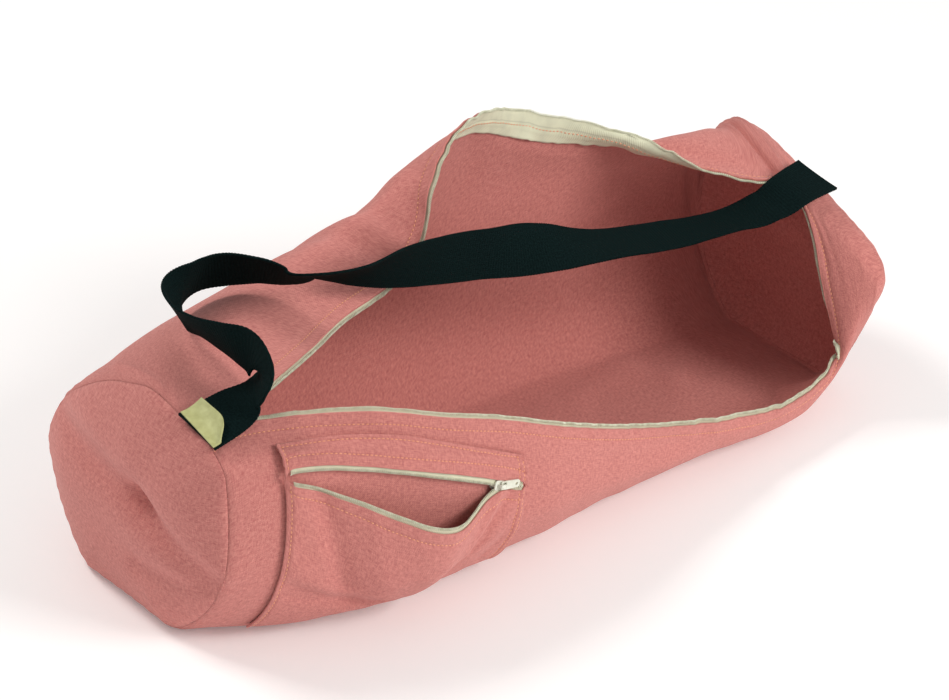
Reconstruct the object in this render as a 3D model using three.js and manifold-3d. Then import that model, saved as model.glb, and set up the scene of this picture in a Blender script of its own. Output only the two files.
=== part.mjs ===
// A long round bag of canvas, lying on its side with its zip open.
// Millimetres. X runs along the bag from the labelled near end to the far end, the pocket faces
// -Y, Z is up, and the origin is on the ground under the middle of the bag.
import * as THREE from 'three';
import { mergeVertices } from 'three/addons/utils/BufferGeometryUtils.js';
import Module from 'manifold-3d';

// Driving dimensions
const BAG_LENGTH = 620; // seam to seam
const BAG_DIAMETER = 190; // of the round end panels as sewn
const CANVAS = 1.5; // thickness of the cloth wall, end panels and pocket
const CLEAR = 0.3; // gap left between neighbouring pieces
const END_DOME = 19; // how far the end panels bulge out past their seams
const TAPE_WIDTH = 18; // woven tape of the main zip
const TAPE = 0.8; // thickness of every zip tape
const TAPE_REVEAL = 0.6; // how far the tape looks out past the hem
const COIL_WIDTH = 2.8; // the teeth of one side of a zip
const COIL_HEIGHT = 2.2;
const STRAP_WIDTH = 38;
const STRAP = 1.8; // thickness of the webbing
const LABEL_LENGTH = 36; // along the seam
const LABEL_REACH = 19; // from the seam to its free edge
const LABEL = 0.8; // thickness of the folded label
const LABEL_LIFT = 24; // degrees that the label curls up from the strap
const POCKET_TAPE_WIDTH = 9;
const POCKET_SLACK = 22; // how far the open pocket's lower lip stands off the wall
const POCKET_SAG = 21; // how far the lower lip hangs below the closed zip line
const POCKET_ARCH = 8; // how far the upper lip is drawn up
const SLIDER_LENGTH = 9;
const SLIDER_WIDTH = 7.4;
const SLIDER_PLATE = 1.1;
const PULL_LENGTH = 17;
const PULL_WIDTH = 6.4;
const PULL = 1;
const PULL_BAR = 1.3; // the bar of the pull that passes under the slider's bridge
const PULL_EYE = 2.2; // round hole near the pull's free end
const PULL_CORNER = 1.4;

// Colours of the real thing: salmon canvas, cream zips, black webbing, pale yellow label
const canvas = new THREE.MeshStandardMaterial({ color: 0xcf7f7b, roughness: 0.95, metalness: 0 });
const cream = new THREE.MeshStandardMaterial({ color: 0xe2e0c2, roughness: 0.8, metalness: 0 });
const webbing = new THREE.MeshStandardMaterial({ color: 0x10201f, roughness: 0.85, metalness: 0 });
const tab = new THREE.MeshStandardMaterial({ color: 0xdedb9a, roughness: 0.8, metalness: 0 });
const enamel = new THREE.MeshStandardMaterial({ color: 0xe6e6dc, roughness: 0.35, metalness: 0.3 });

// Ribs of the bag's body. Each row is one rib: its place from the near seam (0) to the far seam
// (1), then where the rib passes, as shares of the diameter: out from the middle, and up.
const RIB_COLUMNS = [
  'place', 'shoulderOut', 'shoulderUp', 'bellyOut', 'bellyUp', 'floorFront', 'floorBack',
  'backOut', 'backUp', 'rearOut', 'rearUp', 'crestOut', 'crestUp',
];
const RIBS = [
  [0.00, -0.495, 0.75, -0.51, 0.33, -0.235, 0.26, 0.54, 0.40, 0.41, 0.68, 0.00, 0.905],
  [0.12, -0.60, 0.695, -0.61, 0.265, -0.41, 0.29, 0.56, 0.38, 0.49, 0.73, 0.19, 0.935],
  [0.26, -0.69, 0.62, -0.68, 0.25, -0.435, 0.315, 0.57, 0.39, 0.52, 0.79, 0.305, 0.98],
  [0.40, -0.69, 0.505, -0.68, 0.235, -0.455, 0.325, 0.57, 0.39, 0.55, 0.82, 0.395, 1.03],
  [0.52, -0.665, 0.39, -0.64, 0.20, -0.42, 0.335, 0.57, 0.38, 0.56, 0.82, 0.52, 1.10],
  [0.64, -0.615, 0.275, -0.59, 0.15, -0.375, 0.335, 0.565, 0.375, 0.565, 0.75, 0.54, 1.0],
  [0.76, -0.59, 0.165, -0.525, 0.075, -0.335, 0.325, 0.545, 0.36, 0.54, 0.68, 0.45, 0.91],
  [0.88, -0.545, 0.155, -0.51, 0.075, -0.28, 0.295, 0.535, 0.36, 0.50, 0.69, 0.31, 0.935],
  [0.94, -0.51, 0.23, -0.44, 0.135, -0.23, 0.28, 0.525, 0.355, 0.475, 0.69, 0.29, 0.925],
  [1.00, -0.51, 0.62, -0.465, 0.35, -0.25, 0.265, 0.515, 0.35, 0.475, 0.705, 0.295, 0.915],
];

// The two edges of the mouth. Each row: the rib's place, then along from the bag's middle as a
// share of its length, and out and up as shares of the diameter.
const EDGE_COLUMNS = ['place', 'along', 'out', 'up'];
const FRONT_EDGE = [
  [0.00, -0.494, -0.37, 0.858], [0.04, -0.464, -0.345, 0.862], [0.12, -0.387, -0.442, 0.874],
  [0.20, -0.306, -0.558, 0.858], [0.28, -0.226, -0.626, 0.78], [0.36, -0.148, -0.658, 0.70],
  [0.44, -0.066, -0.668, 0.59], [0.52, 0.0145, -0.658, 0.484], [0.60, 0.0935, -0.637, 0.39],
  [0.68, 0.177, -0.616, 0.305], [0.76, 0.255, -0.595, 0.237], [0.82, 0.323, -0.579, 0.195],
  [0.87, 0.38, -0.547, 0.195], [0.91, 0.426, -0.51, 0.226], [0.94, 0.448, -0.458, 0.295],
  [0.96, 0.447, -0.40, 0.42], [0.975, 0.442, -0.347, 0.568], [0.985, 0.4435, -0.29, 0.69],
  [0.99, 0.4475, -0.215, 0.78], [0.995, 0.455, -0.135, 0.83], [1.00, 0.49, -0.122, 0.845],
];
const BACK_EDGE = [
  [0.00, -0.494, -0.31, 0.865], [0.04, -0.464, -0.286, 0.865], [0.12, -0.38, -0.21, 0.874],
  [0.20, -0.29, -0.075, 0.85], [0.28, -0.20, 0.075, 0.83], [0.35, -0.124, 0.16, 0.82],
  [0.40, -0.077, 0.22, 0.826], [0.44, -0.039, 0.263, 0.937], [0.48, -0.01, 0.337, 1.116],
  [0.52, 0.032, 0.41, 1.215], [0.58, 0.103, 0.48, 1.21], [0.66, 0.18, 0.495, 1.105],
  [0.74, 0.258, 0.40, 0.984], [0.82, 0.33, 0.22, 0.895], [0.90, 0.403, 0.01, 0.842],
  [0.96, 0.45, -0.075, 0.83], [0.98, 0.462, -0.08, 0.84], [1.00, 0.49, -0.078, 0.848],
];

// The shoulder strap's route. Each row: along as a share of the bag's length, out and up as
// shares of its diameter, then the direction that the webbing's width points in.
const STRAP_COLUMNS = ['along', 'out', 'up', 'acrossAlong', 'acrossOut', 'acrossUp'];
const STRAP_ROUTE = [
  [-0.495, -0.30, 0.882, 0, 0.97, 0.22],
  [-0.452, -0.30, 0.905, 0.1, 0.97, 0.16],
  [-0.428, -0.325, 0.95, 0.5, 0.82, 0],
  [-0.422, -0.358, 1.015, 0.5, 0.8, -0.2],
  [-0.424, -0.34, 1.07, 0.15, 0.62, -0.75],
  [-0.424, -0.28, 1.095, 0.15, 0.15, -0.97],
  [-0.429, -0.19, 1.09, 0.4, 0, -0.9],
  [-0.431, -0.07, 1.075, 0.6, -0.1, -0.78],
  [-0.429, 0.05, 1.065, 0.6, -0.2, -0.78],
  [-0.421, 0.15, 1.055, 0.45, -0.2, -0.86],
  [-0.40, 0.23, 1.045, 0.5, 0.1, -0.8],
  [-0.376, 0.28, 1.05, 0.4, 0.35, -0.8],
  [-0.35, 0.295, 1.06, 0.25, 0.35, -0.88],
  [-0.325, 0.25, 1.075, 0.25, 0.38, -0.88],
  [-0.302, 0.175, 1.083, 0.3, 0.5, -0.8],
  [-0.277, 0.095, 1.07, 0.35, 0.65, -0.67],
  [-0.258, 0.02, 1.09, 0.55, 0.65, -0.52],
  [-0.216, -0.01, 1.07, 0, 0.75, -0.65],
  [-0.163, 0.01, 1.027, -0.2, 0.45, -0.88],
  [-0.103, 0.042, 0.974, -0.1, 0.16, -0.99],
  [-0.027, 0.068, 0.916, -0.05, -0.07, -1],
  [0.03, 0.068, 0.879, -0.1, -0.19, -0.98],
  [0.10, 0.06, 0.835, -0.05, -0.74, -0.67],
  [0.18, 0.02, 0.79, 0, -0.99, -0.14],
  [0.27, -0.035, 0.768, 0, -1, -0.03],
  [0.355, -0.09, 0.775, 0.1, -0.99, 0.14],
  [0.40, -0.15, 0.825, 0.15, -1, 0.08],
  [0.436, -0.165, 0.875, 0.2, -0.98, -0.1],
  [0.487, -0.132, 0.872, 0.16, -0.95, -0.26],
];

// Edges of the pocket on the front wall, as shares of the way round a rib (0 is the front edge
// of the mouth). Each row: place from the pocket's left side (0) to its right side (1), the top
// of the patch, and the closed line of its zip.
const POCKET_COLUMNS = ['across', 'top', 'zip'];
const POCKET_LINES = [
  [0.0, 0.055, 0.12], [0.3, 0.045, 0.128], [0.55, 0.055, 0.14], [0.8, 0.08, 0.152],
  [1.0, 0.105, 0.166],
];
const POCKET_LEFT = 0.074; // the pocket's sides, as places between the bag's seams
const POCKET_RIGHT = 0.374;
const POCKET_LEAN = 0.02; // how far the left side runs towards the near end at the bottom
const POCKET_BOTTOM = 0.335; // its bottom hem, as a share of the way round
const POCKET_SLIDER = 0.86; // where its slider stands, as a share of its width

const wasm = await Module();
wasm.setup();

const bag = new THREE.Group();
bag.name = 'yoga_mat_bag';

// Smooth curve through the rows of a table whose first column is the key.
function along(rows, key) {
  const last = rows.length - 1;
  let i = 0;
  while (i < last - 1 && rows[i + 1][0] <= key) i += 1;
  const slope = (k, column) => {
    const low = rows[Math.max(k - 1, 0)];
    const high = rows[Math.min(k + 1, last)];
    return (high[column] - low[column]) / (high[0] - low[0]);
  };
  const span = rows[i + 1][0] - rows[i][0];
  const t = (key - rows[i][0]) / span;
  return rows[i].map((value, column) => {
    if (column === 0) return key;
    const start = (2 * t ** 3 - 3 * t ** 2 + 1) * value;
    const end = (3 * t ** 2 - 2 * t ** 3) * rows[i + 1][column];
    const leave = (t ** 3 - 2 * t ** 2 + t) * span * slope(i, column);
    const arrive = (t ** 3 - t ** 2) * span * slope(i + 1, column);
    return start + end + leave + arrive;
  });
}

// A table's row at a key, as an object with the column names.
function rowAt(columns, rows, key) {
  const values = along(rows, key);
  return Object.fromEntries(columns.map((name, i) => [name, values[i]]));
}

function edgePoint(rows, place) {
  const edge = rowAt(EDGE_COLUMNS, rows, place);
  return new THREE.Vector3(
    edge.along * BAG_LENGTH, edge.out * BAG_DIAMETER, edge.up * BAG_DIAMETER,
  );
}

// One rib: from the mouth's front edge down the front, under the bag and up the back to the
// mouth's back edge. The edges pull the cloth near them along the bag.
function ribCurve(place) {
  const rib = rowAt(RIB_COLUMNS, RIBS, place);
  const front = edgePoint(FRONT_EDGE, place);
  const back = edgePoint(BACK_EDGE, place);
  const x = (place - 0.5) * BAG_LENGTH;
  const at = (out, up, edge, pull) =>
    new THREE.Vector3(x + pull * (edge.x - x), out * BAG_DIAMETER, up * BAG_DIAMETER);
  const points = [
    front,
    at(rib.shoulderOut, rib.shoulderUp, front, 0.3),
    at(rib.bellyOut, rib.bellyUp, front, 0.1),
    at(rib.floorFront, 0, front, 0),
    at(rib.floorBack, 0, back, 0),
    at(rib.backOut, rib.backUp, back, 0),
    at(rib.rearOut, rib.rearUp, back, 0.3),
    at(rib.crestOut, rib.crestUp, back, 0.7),
    back,
  ];
  let distance = 0;
  return points.map((point, i) => {
    if (i > 0) distance += Math.sqrt(point.distanceTo(points[i - 1]));
    return [distance, point.x, point.y, point.z];
  });
}

// A point of the outer face of the wall: place from seam to seam, round from the front edge (0)
// to the back edge (1). The cloth lies flat where it meets the ground.
function wallPoint(place, round, curve = ribCurve(place)) {
  const spans = curve.length - 1;
  const i = Math.min(Math.floor(round * spans), spans - 1);
  const share = round * spans - i;
  const key = curve[i][0] + share * (curve[i + 1][0] - curve[i][0]);
  const [, x, y, z] = along(curve, key);
  return new THREE.Vector3(x, y, Math.max(z, 0));
}

// The outer face at a point, with its outward normal and the directions along the bag and down
// round the rib, and how many millimetres one whole turn of `round` would be worth there.
function wallFrame(place, round) {
  const step = 0.002;
  const point = wallPoint(place, round);
  const ahead = wallPoint(Math.min(place + step, 1), round);
  const behind = wallPoint(Math.max(place - step, 0), round);
  const below = wallPoint(place, Math.min(round + step, 1));
  const above = wallPoint(place, Math.max(round - step, 0));
  const onward = ahead.sub(behind).normalize();
  const down = below.sub(above);
  const scale = down.length() / (Math.min(round + step, 1) - Math.max(round - step, 0));
  down.normalize();
  const normal = new THREE.Vector3().crossVectors(down, onward).normalize();
  return { point, normal, onward, down, scale };
}

// A closed body collected triangle by triangle. Its faces are turned outwards at the end.
class Skin {
  constructor() {
    this.corners = [];
  }

  triangle(a, b, c) {
    if (a.equals(b) || b.equals(c) || c.equals(a)) return;
    this.corners.push(a, b, c);
  }

  quad(a, b, c, d) {
    this.triangle(a, b, c);
    this.triangle(a, c, d);
  }

  geometry() {
    const product = new THREE.Vector3();
    let volume = 0;
    for (let i = 0; i < this.corners.length; i += 3) {
      product.crossVectors(this.corners[i + 1], this.corners[i + 2]);
      volume += this.corners[i].dot(product);
    }
    if (volume < 0) this.corners.reverse();
    const geometry = new THREE.BufferGeometry().setFromPoints(this.corners);
    geometry.computeVertexNormals();
    return geometry;
  }
}

// A sheet between two grids of points, closed along its four borders.
function sheet(upper, lower) {
  const skin = new Skin();
  const rows = upper.length - 1;
  const columns = upper[0].length - 1;
  for (let i = 0; i < rows; i += 1) {
    for (let j = 0; j < columns; j += 1) {
      skin.quad(upper[i][j], upper[i + 1][j], upper[i + 1][j + 1], upper[i][j + 1]);
      skin.quad(lower[i][j], lower[i][j + 1], lower[i + 1][j + 1], lower[i + 1][j]);
    }
    skin.quad(upper[i][0], lower[i][0], lower[i + 1][0], upper[i + 1][0]);
    skin.quad(
      upper[i][columns], upper[i + 1][columns], lower[i + 1][columns], lower[i][columns],
    );
  }
  for (let j = 0; j < columns; j += 1) {
    skin.quad(upper[0][j], upper[0][j + 1], lower[0][j + 1], lower[0][j]);
    skin.quad(upper[rows][j], lower[rows][j], lower[rows][j + 1], upper[rows][j + 1]);
  }
  return skin.geometry();
}

const away = (point, direction, distance) => point.clone().addScaledVector(direction, distance);

function shares(count) {
  return Array.from({ length: count + 1 }, (unused, i) => i / count);
}

function add(name, geometry, material) {
  const mesh = new THREE.Mesh(geometry, material.clone());
  mesh.name = name;
  bag.add(mesh);
  return mesh;
}

// Body of the bag: one wide panel of canvas, rolled into a tube that is open along the zip.
const FINE_FROM = 0.9; // beyond this place the mouth's edge turns up and the ribs stand closer
const STATIONS = [
  ...shares(28).map((share) => share * FINE_FROM),
  ...[0.918, 0.93, 0.938, 0.946, 0.954, 0.962, 0.97, 0.978, 0.985, 0.99, 0.995, 1],
];
const ROUNDS = shares(32);
const wallGrid = STATIONS.map((place) => {
  const curve = ribCurve(place);
  return ROUNDS.map((round) => wallPoint(place, round, curve));
});
const wallNormals = wallGrid.map((rib, i) => rib.map((point, j) => {
  const ahead = wallGrid[Math.min(i + 1, wallGrid.length - 1)][j];
  const behind = wallGrid[Math.max(i - 1, 0)][j];
  const below = rib[Math.min(j + 1, rib.length - 1)];
  const above = rib[Math.max(j - 1, 0)];
  const onward = ahead.clone().sub(behind);
  const down = below.clone().sub(above);
  const normal = down.cross(onward);
  if (i === 0 || i === wallGrid.length - 1) normal.x = 0;
  return normal.normalize();
}));

function mainPanel() {
  const inner = wallGrid.map((rib, i) => rib.map((p, j) => away(p, wallNormals[i][j], -CANVAS)));
  return sheet(wallGrid, inner);
}

const END_RINGS = [1, 0.94, 0.8, 0.6, 0.36, 0]; // shares of the way from its middle to its rim

// Round end panel: its rim follows the last rib of the body, and it bulges outwards.
function endPanel(rib, outward) {
  const ring = [...rib, rib[0]];
  const centre = new THREE.Vector3();
  rib.forEach((point) => centre.addScaledVector(point, 1 / rib.length));
  const layer = (lift) => END_RINGS.map((share) => ring.map((point) => {
    const place = centre.clone().lerp(point, share);
    place.x += outward * (lift + END_DOME * (1 - share ** 3.5));
    return place;
  }));
  return sheet(layer(CLEAR + CANVAS), layer(CLEAR));
}

// A point on the faceted wall, `inward` millimetres from an edge of the mouth along rib i.
// Negative distances look out past the edge.
function fromEdge(i, side, inward) {
  const rib = side === 'front' ? wallGrid[i] : [...wallGrid[i]].reverse();
  const normals = side === 'front' ? wallNormals[i] : [...wallNormals[i]].reverse();
  if (inward < 0) {
    const out = rib[0].clone().sub(rib[1]).normalize();
    return { point: away(rib[0], out, -inward), normal: normals[0] };
  }
  let left = inward;
  let j = 0;
  while (left > rib[j].distanceTo(rib[j + 1])) {
    left -= rib[j].distanceTo(rib[j + 1]);
    j += 1;
  }
  const share = left / rib[j].distanceTo(rib[j + 1]);
  return {
    point: rib[j].clone().lerp(rib[j + 1], share),
    normal: normals[j].clone().lerp(normals[j + 1], share).normalize(),
  };
}

// A band of zip that runs along an edge of the mouth, behind the canvas.
function edgeBand(side, reaches, top, bottom) {
  const layer = (depth) => STATIONS.map((place, i) => reaches.map((reach) => {
    const { point, normal } = fromEdge(i, side, reach);
    return away(point, normal, -depth);
  }));
  return sheet(layer(top), layer(bottom));
}

const TAPE_TOP = CANVAS + CLEAR + 0.9; // depth of the tape under the outer face of the wall
const TAPE_MIDDLE = TAPE_TOP + TAPE / 2;
const tapeReaches = [-TAPE_REVEAL, TAPE_WIDTH * 0.25, TAPE_WIDTH * 0.6, TAPE_WIDTH - TAPE_REVEAL];
const COIL_GAP = 0.9; // between the tape's edge and the coil
const coilReaches = [-TAPE_REVEAL - COIL_GAP - COIL_WIDTH, -TAPE_REVEAL - COIL_GAP];

// Shoulder strap of woven webbing.
function strap() {
  const rows = STRAP_ROUTE.map((row, i) => [i, ...row]);
  const columns = ['key', ...STRAP_COLUMNS];
  const pointAt = (key) => {
    const row = rowAt(columns, rows, key);
    return new THREE.Vector3(
      row.along * BAG_LENGTH, row.out * BAG_DIAMETER, row.up * BAG_DIAMETER,
    );
  };
  const last = rows.length - 1;
  const upper = [];
  const lower = [];
  for (const key of shares(last * 2).map((share) => share * last)) {
    const row = rowAt(columns, rows, key);
    const tangent = pointAt(Math.min(key + 0.1, last)).sub(pointAt(Math.max(key - 0.1, 0)));
    tangent.normalize();
    const across = new THREE.Vector3(row.acrossAlong, row.acrossOut, row.acrossUp);
    across.addScaledVector(tangent, -across.dot(tangent)).normalize();
    const face = new THREE.Vector3().crossVectors(tangent, across);
    const sides = [-0.5, 0.5].map((side) => away(pointAt(key), across, side * STRAP_WIDTH));
    upper.push(sides.map((point) => away(point, face, STRAP / 2)));
    lower.push(sides.map((point) => away(point, face, -STRAP / 2)));
  }
  return sheet(upper, lower);
}

// Label: a small folded tab of cloth sewn over the strap's near end, curling up.
function label() {
  const start = STRAP_ROUTE[0];
  const centre = new THREE.Vector3(
    start[0] * BAG_LENGTH, start[1] * BAG_DIAMETER, start[2] * BAG_DIAMETER,
  );
  const across = new THREE.Vector3(start[3], start[4], start[5]).normalize();
  const lift = (share) => THREE.MathUtils.degToRad(LABEL_LIFT) * share;
  const layer = (depth) => shares(4).map((share) => {
    const rise = LABEL_REACH * share * Math.sin(lift(share));
    const reach = LABEL_REACH * share * Math.cos(lift(share));
    const place = centre.clone().add(new THREE.Vector3(reach, 0, rise + depth));
    return [-0.5, 0.5].map((side) => away(place, across, side * LABEL_LENGTH));
  });
  const base = STRAP / 2 + CLEAR * 2;
  return sheet(layer(base + LABEL), layer(base));
}

// Pocket: where its lines run on the wall. `across` goes from its left side to its right side.
function pocketPlace(across, down) {
  return POCKET_LEFT - POCKET_LEAN * down * (1 - across)
    + across * (POCKET_RIGHT - POCKET_LEFT);
}

const pocketLine = (across) => rowAt(POCKET_COLUMNS, POCKET_LINES, across);
const HEM = 1.3; // how far the coil of the pocket's zip stands from its cloth
const halfZip = COIL_WIDTH + CLEAR / 2 + HEM; // half the closed zip's width between its hems

// How open the zip is at a place, 0 where closed, 1 at the widest; `lean` shifts the widest.
function openness(across, lean) {
  const share = across / POCKET_SLIDER;
  return share >= 1 ? 0 : Math.sin(Math.PI * share ** lean);
}

// The lips' hems, as shares of the way round, and how far the panel stands off the wall.
function upperLip(across) {
  const { zip } = pocketLine(across);
  const { scale } = wallFrame(pocketPlace(across, 0), zip);
  return zip - (halfZip + POCKET_ARCH * openness(across, 0.7)) / scale;
}

function lowerLip(across) {
  const { zip } = pocketLine(across);
  const { scale } = wallFrame(pocketPlace(across, 0), zip);
  return zip + (halfZip + POCKET_SAG * openness(across, 1.5)) / scale;
}

const SLIDER_SEAT = 0.6; // height of the slider's lower plate over the wall
const PLATE_CLEAR = 0.45; // between a coil and each of the slider's plates
const coilLow = SLIDER_SEAT + SLIDER_PLATE + PLATE_CLEAR; // underside, over the wall
const pocketTapeLow = coilLow + (COIL_HEIGHT - TAPE) / 2;
const TAPE_DROP = 0.6; // the tape's top under the cloth's underside
const lipLow = pocketTapeLow + TAPE + TAPE_DROP;
const SKIRT = 1.1; // height of the pocket's cloth over the wall along its sewn sides
const LIP_END = 0.022; // the zip starts and stops this share of the pocket's width in
const LIP_COLUMNS = shares(22).map((share) => LIP_END + share * (1 - 2 * LIP_END));
const POCKET_ACROSS = [0, ...LIP_COLUMNS, 1];

const slack = (across) => POCKET_SLACK * openness(across, 1.4) ** 2.4;

// A point over the wall at a height.
function overWall(place, round, height) {
  const { point, normal } = wallFrame(place, round);
  return away(point, normal, height);
}

// Height of the patch's upper band over the wall, from its top (0) down to its lip (1).
function bandHeight(across, down) {
  return SKIRT + (lipLow - SKIRT) * Math.min(1, down / 0.5);
}

// Upper part of the pocket patch, between the bag's hem and the pocket's zip.
function pocketBand() {
  const layer = (rise) => POCKET_ACROSS.map((across) => shares(4).map((down) => {
    const { top } = pocketLine(across);
    const round = top + (upperLip(across) - top) * down;
    return overWall(pocketPlace(across, 0), round, bandHeight(across, down) + rise);
  }));
  return sheet(layer(CANVAS), layer(0));
}

// Height of the pocket's panel over the wall, from its lip (0) down to its bottom hem (1).
function panelHeight(across, down) {
  const side = Math.min(1, Math.min(across, 1 - across) / LIP_END);
  const lip = SKIRT + (lipLow - SKIRT) * side + slack(across);
  return SKIRT + (lip - SKIRT) * (1 - down) ** 0.9;
}

function pocketPanel() {
  const layer = (rise) => POCKET_ACROSS.map((across) => shares(9).map((down) => {
    const start = lowerLip(across);
    const round = start + (POCKET_BOTTOM - start) * down;
    return overWall(pocketPlace(across, down), round, panelHeight(across, down) + rise);
  }));
  return sheet(layer(CANVAS), layer(0));
}

// Height of the cloth's underside a distance in from a lip, which its tape follows.
function underBand(across, reach) {
  const { top, zip } = pocketLine(across);
  const { scale } = wallFrame(pocketPlace(across, 0), zip);
  const depth = (upperLip(across) - top) * scale;
  return bandHeight(across, 1 - Math.max(reach, 0) / depth);
}

function underPanel(across, reach) {
  const start = lowerLip(across);
  const { scale } = wallFrame(pocketPlace(across, 0), start);
  const depth = (POCKET_BOTTOM - start) * scale;
  return panelHeight(across, Math.max(reach, 0) / depth);
}

// Tape or coil of one lip of the pocket's zip. `turn` is -1 on the upper lip, 1 on the lower,
// and `drops` are how far its top and underside lie under the cloth's underside.
function lipBand(lip, turn, cover, reaches, drops) {
  const layer = (drop) => LIP_COLUMNS.map((across) => {
    const place = pocketPlace(across, 0);
    const { scale } = wallFrame(place, lip(across));
    return reaches.map((reach) => overWall(
      place, lip(across) + (turn * reach) / scale, cover(across, reach) - drop,
    ));
  });
  return sheet(layer(drops[0]), layer(drops[1]));
}

const pocketTape = [-HEM + CLEAR, 0, POCKET_TAPE_WIDTH - HEM];
const pocketCoil = [-HEM - COIL_WIDTH, -HEM];
const tapeDrops = [TAPE_DROP, TAPE_DROP + TAPE];
const coilDrops = [-1, 1].map((side) => TAPE_DROP + (TAPE + side * COIL_HEIGHT) / 2);

// Slider of a zip, in its own frame: X along the zip towards its closed side, Z off the cloth.
// Two plates hold the coils between them, a post parts the coils and a bridge holds the pull.
const BRIDGE_LENGTH = 6.4;
const BRIDGE_WIDTH = 2.4;
const BRIDGE_WALL = 1.2;
const WELD = 0.2; // how far the slider's parts run into each other
const TUNNEL = PULL_BAR + 2 * CLEAR + 0.3; // height of the opening under the bridge
const plateGap = COIL_HEIGHT + 2 * PLATE_CLEAR;
const pivotHeight = SLIDER_PLATE * 2 + plateGap + TUNNEL / 2;

function block(length, width, height, x, y, z) {
  const geometry = new THREE.BoxGeometry(length, width, height);
  geometry.translate(x, y, z + height / 2);
  return geometry;
}

// Flat plate from an outline, lying at a height.
function plate(outline, height, z, holes = []) {
  const shape = new THREE.Shape(outline.map(([x, y]) => new THREE.Vector2(x, y)));
  shape.holes = holes;
  const geometry = new THREE.ExtrudeGeometry(shape, { depth: height, bevelEnabled: false });
  geometry.translate(0, 0, z);
  return geometry;
}

function toSolid(geometry) {
  const bare = geometry.clone();
  bare.deleteAttribute('normal');
  bare.deleteAttribute('uv');
  const merged = mergeVertices(bare, 1e-4);
  return new wasm.Manifold(new wasm.Mesh({
    numProp: 3,
    vertProperties: merged.attributes.position.array,
    triVerts: new Uint32Array(merged.index.array),
  }));
}

function toGeometry(solid) {
  const { vertProperties, triVerts } = solid.getMesh();
  const geometry = new THREE.BufferGeometry();
  geometry.setAttribute('position', new THREE.BufferAttribute(vertProperties, 3));
  geometry.setIndex(new THREE.BufferAttribute(triVerts, 1));
  geometry.computeVertexNormals();
  return geometry;
}

const joined = (geometries) => toGeometry(
  geometries.map(toSolid).reduce((whole, piece) => whole.add(piece)),
);

// The plates' outline: wide where the open coils enter, narrow where the closed zip leaves.
const half = SLIDER_WIDTH / 2;
const sliderOutline = [
  [-SLIDER_LENGTH * 0.6, -half * 0.7], [-SLIDER_LENGTH * 0.45, -half], [0, -half * 0.95],
  [SLIDER_LENGTH * 0.4, -half * 0.7], [SLIDER_LENGTH * 0.4, half * 0.7], [0, half * 0.95],
  [-SLIDER_LENGTH * 0.45, half], [-SLIDER_LENGTH * 0.6, half * 0.7],
];

function bridge(z) {
  const outside = new THREE.Shape([
    new THREE.Vector2(-BRIDGE_LENGTH / 2, -WELD),
    new THREE.Vector2(BRIDGE_LENGTH / 2, -WELD),
    new THREE.Vector2(BRIDGE_LENGTH / 2, TUNNEL * 0.6),
    new THREE.Vector2(BRIDGE_LENGTH / 2 - BRIDGE_WALL, TUNNEL + BRIDGE_WALL),
    new THREE.Vector2(BRIDGE_WALL - BRIDGE_LENGTH / 2, TUNNEL + BRIDGE_WALL),
    new THREE.Vector2(-BRIDGE_LENGTH / 2, TUNNEL * 0.6),
  ]);
  const inside = BRIDGE_LENGTH / 2 - BRIDGE_WALL;
  outside.holes = [new THREE.Path([
    new THREE.Vector2(-inside, 0), new THREE.Vector2(-inside, TUNNEL),
    new THREE.Vector2(inside, TUNNEL), new THREE.Vector2(inside, 0),
  ])];
  const geometry = new THREE.ExtrudeGeometry(
    outside, { depth: BRIDGE_WIDTH, bevelEnabled: false },
  );
  geometry.rotateX(Math.PI / 2);
  geometry.translate(0, BRIDGE_WIDTH / 2, z);
  return geometry;
}

// The post stands where the coils have parted, towards the lip that opens wider.
const POST = 1.4;
const POST_BACK = 4.1;
const POST_DROP = 1;

function slider() {
  const top = SLIDER_PLATE + plateGap;
  return joined([
    plate(sliderOutline, SLIDER_PLATE, 0),
    plate(sliderOutline, SLIDER_PLATE, top),
    block(POST, POST, plateGap + 2 * WELD, -POST_BACK, -POST_DROP, SLIDER_PLATE - WELD),
    bridge(top + SLIDER_PLATE),
  ]);
}

// Pull: a tab with a window, whose end bar lies under the bridge at the pull's own origin.
function pull() {
  const bar = PULL_BAR / 2;
  const wide = PULL_WIDTH / 2;
  const window = BRIDGE_WIDTH / 2 + CLEAR * 3;
  const reach = BRIDGE_LENGTH / 2 + CLEAR * 3;
  const hole = new THREE.Path([
    new THREE.Vector2(bar, -window), new THREE.Vector2(bar, window),
    new THREE.Vector2(reach, window), new THREE.Vector2(reach, -window),
  ]);
  const eye = new THREE.Path();
  eye.absarc(PULL_LENGTH - PULL_WIDTH / 2, 0, PULL_EYE / 2, 0, 2 * Math.PI, true);
  const outline = [
    [-bar, -wide * 0.9], [reach, -wide], [PULL_LENGTH - PULL_CORNER, -wide * 0.85],
    [PULL_LENGTH, -wide * 0.5], [PULL_LENGTH, wide * 0.5],
    [PULL_LENGTH - PULL_CORNER, wide * 0.85], [reach, wide], [-bar, wide * 0.9],
  ];
  return plate(outline, PULL, -PULL / 2, [hole, eye]);
}

// Stands a group on the wall: X along the zip, Z off the cloth.
function standOnWall(group, place, round, height) {
  const { point, normal, onward } = wallFrame(place, round);
  const side = new THREE.Vector3().crossVectors(normal, onward).normalize();
  const forward = new THREE.Vector3().crossVectors(side, normal);
  group.quaternion.setFromRotationMatrix(new THREE.Matrix4().makeBasis(forward, side, normal));
  group.position.copy(away(point, normal, height));
}

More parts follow.
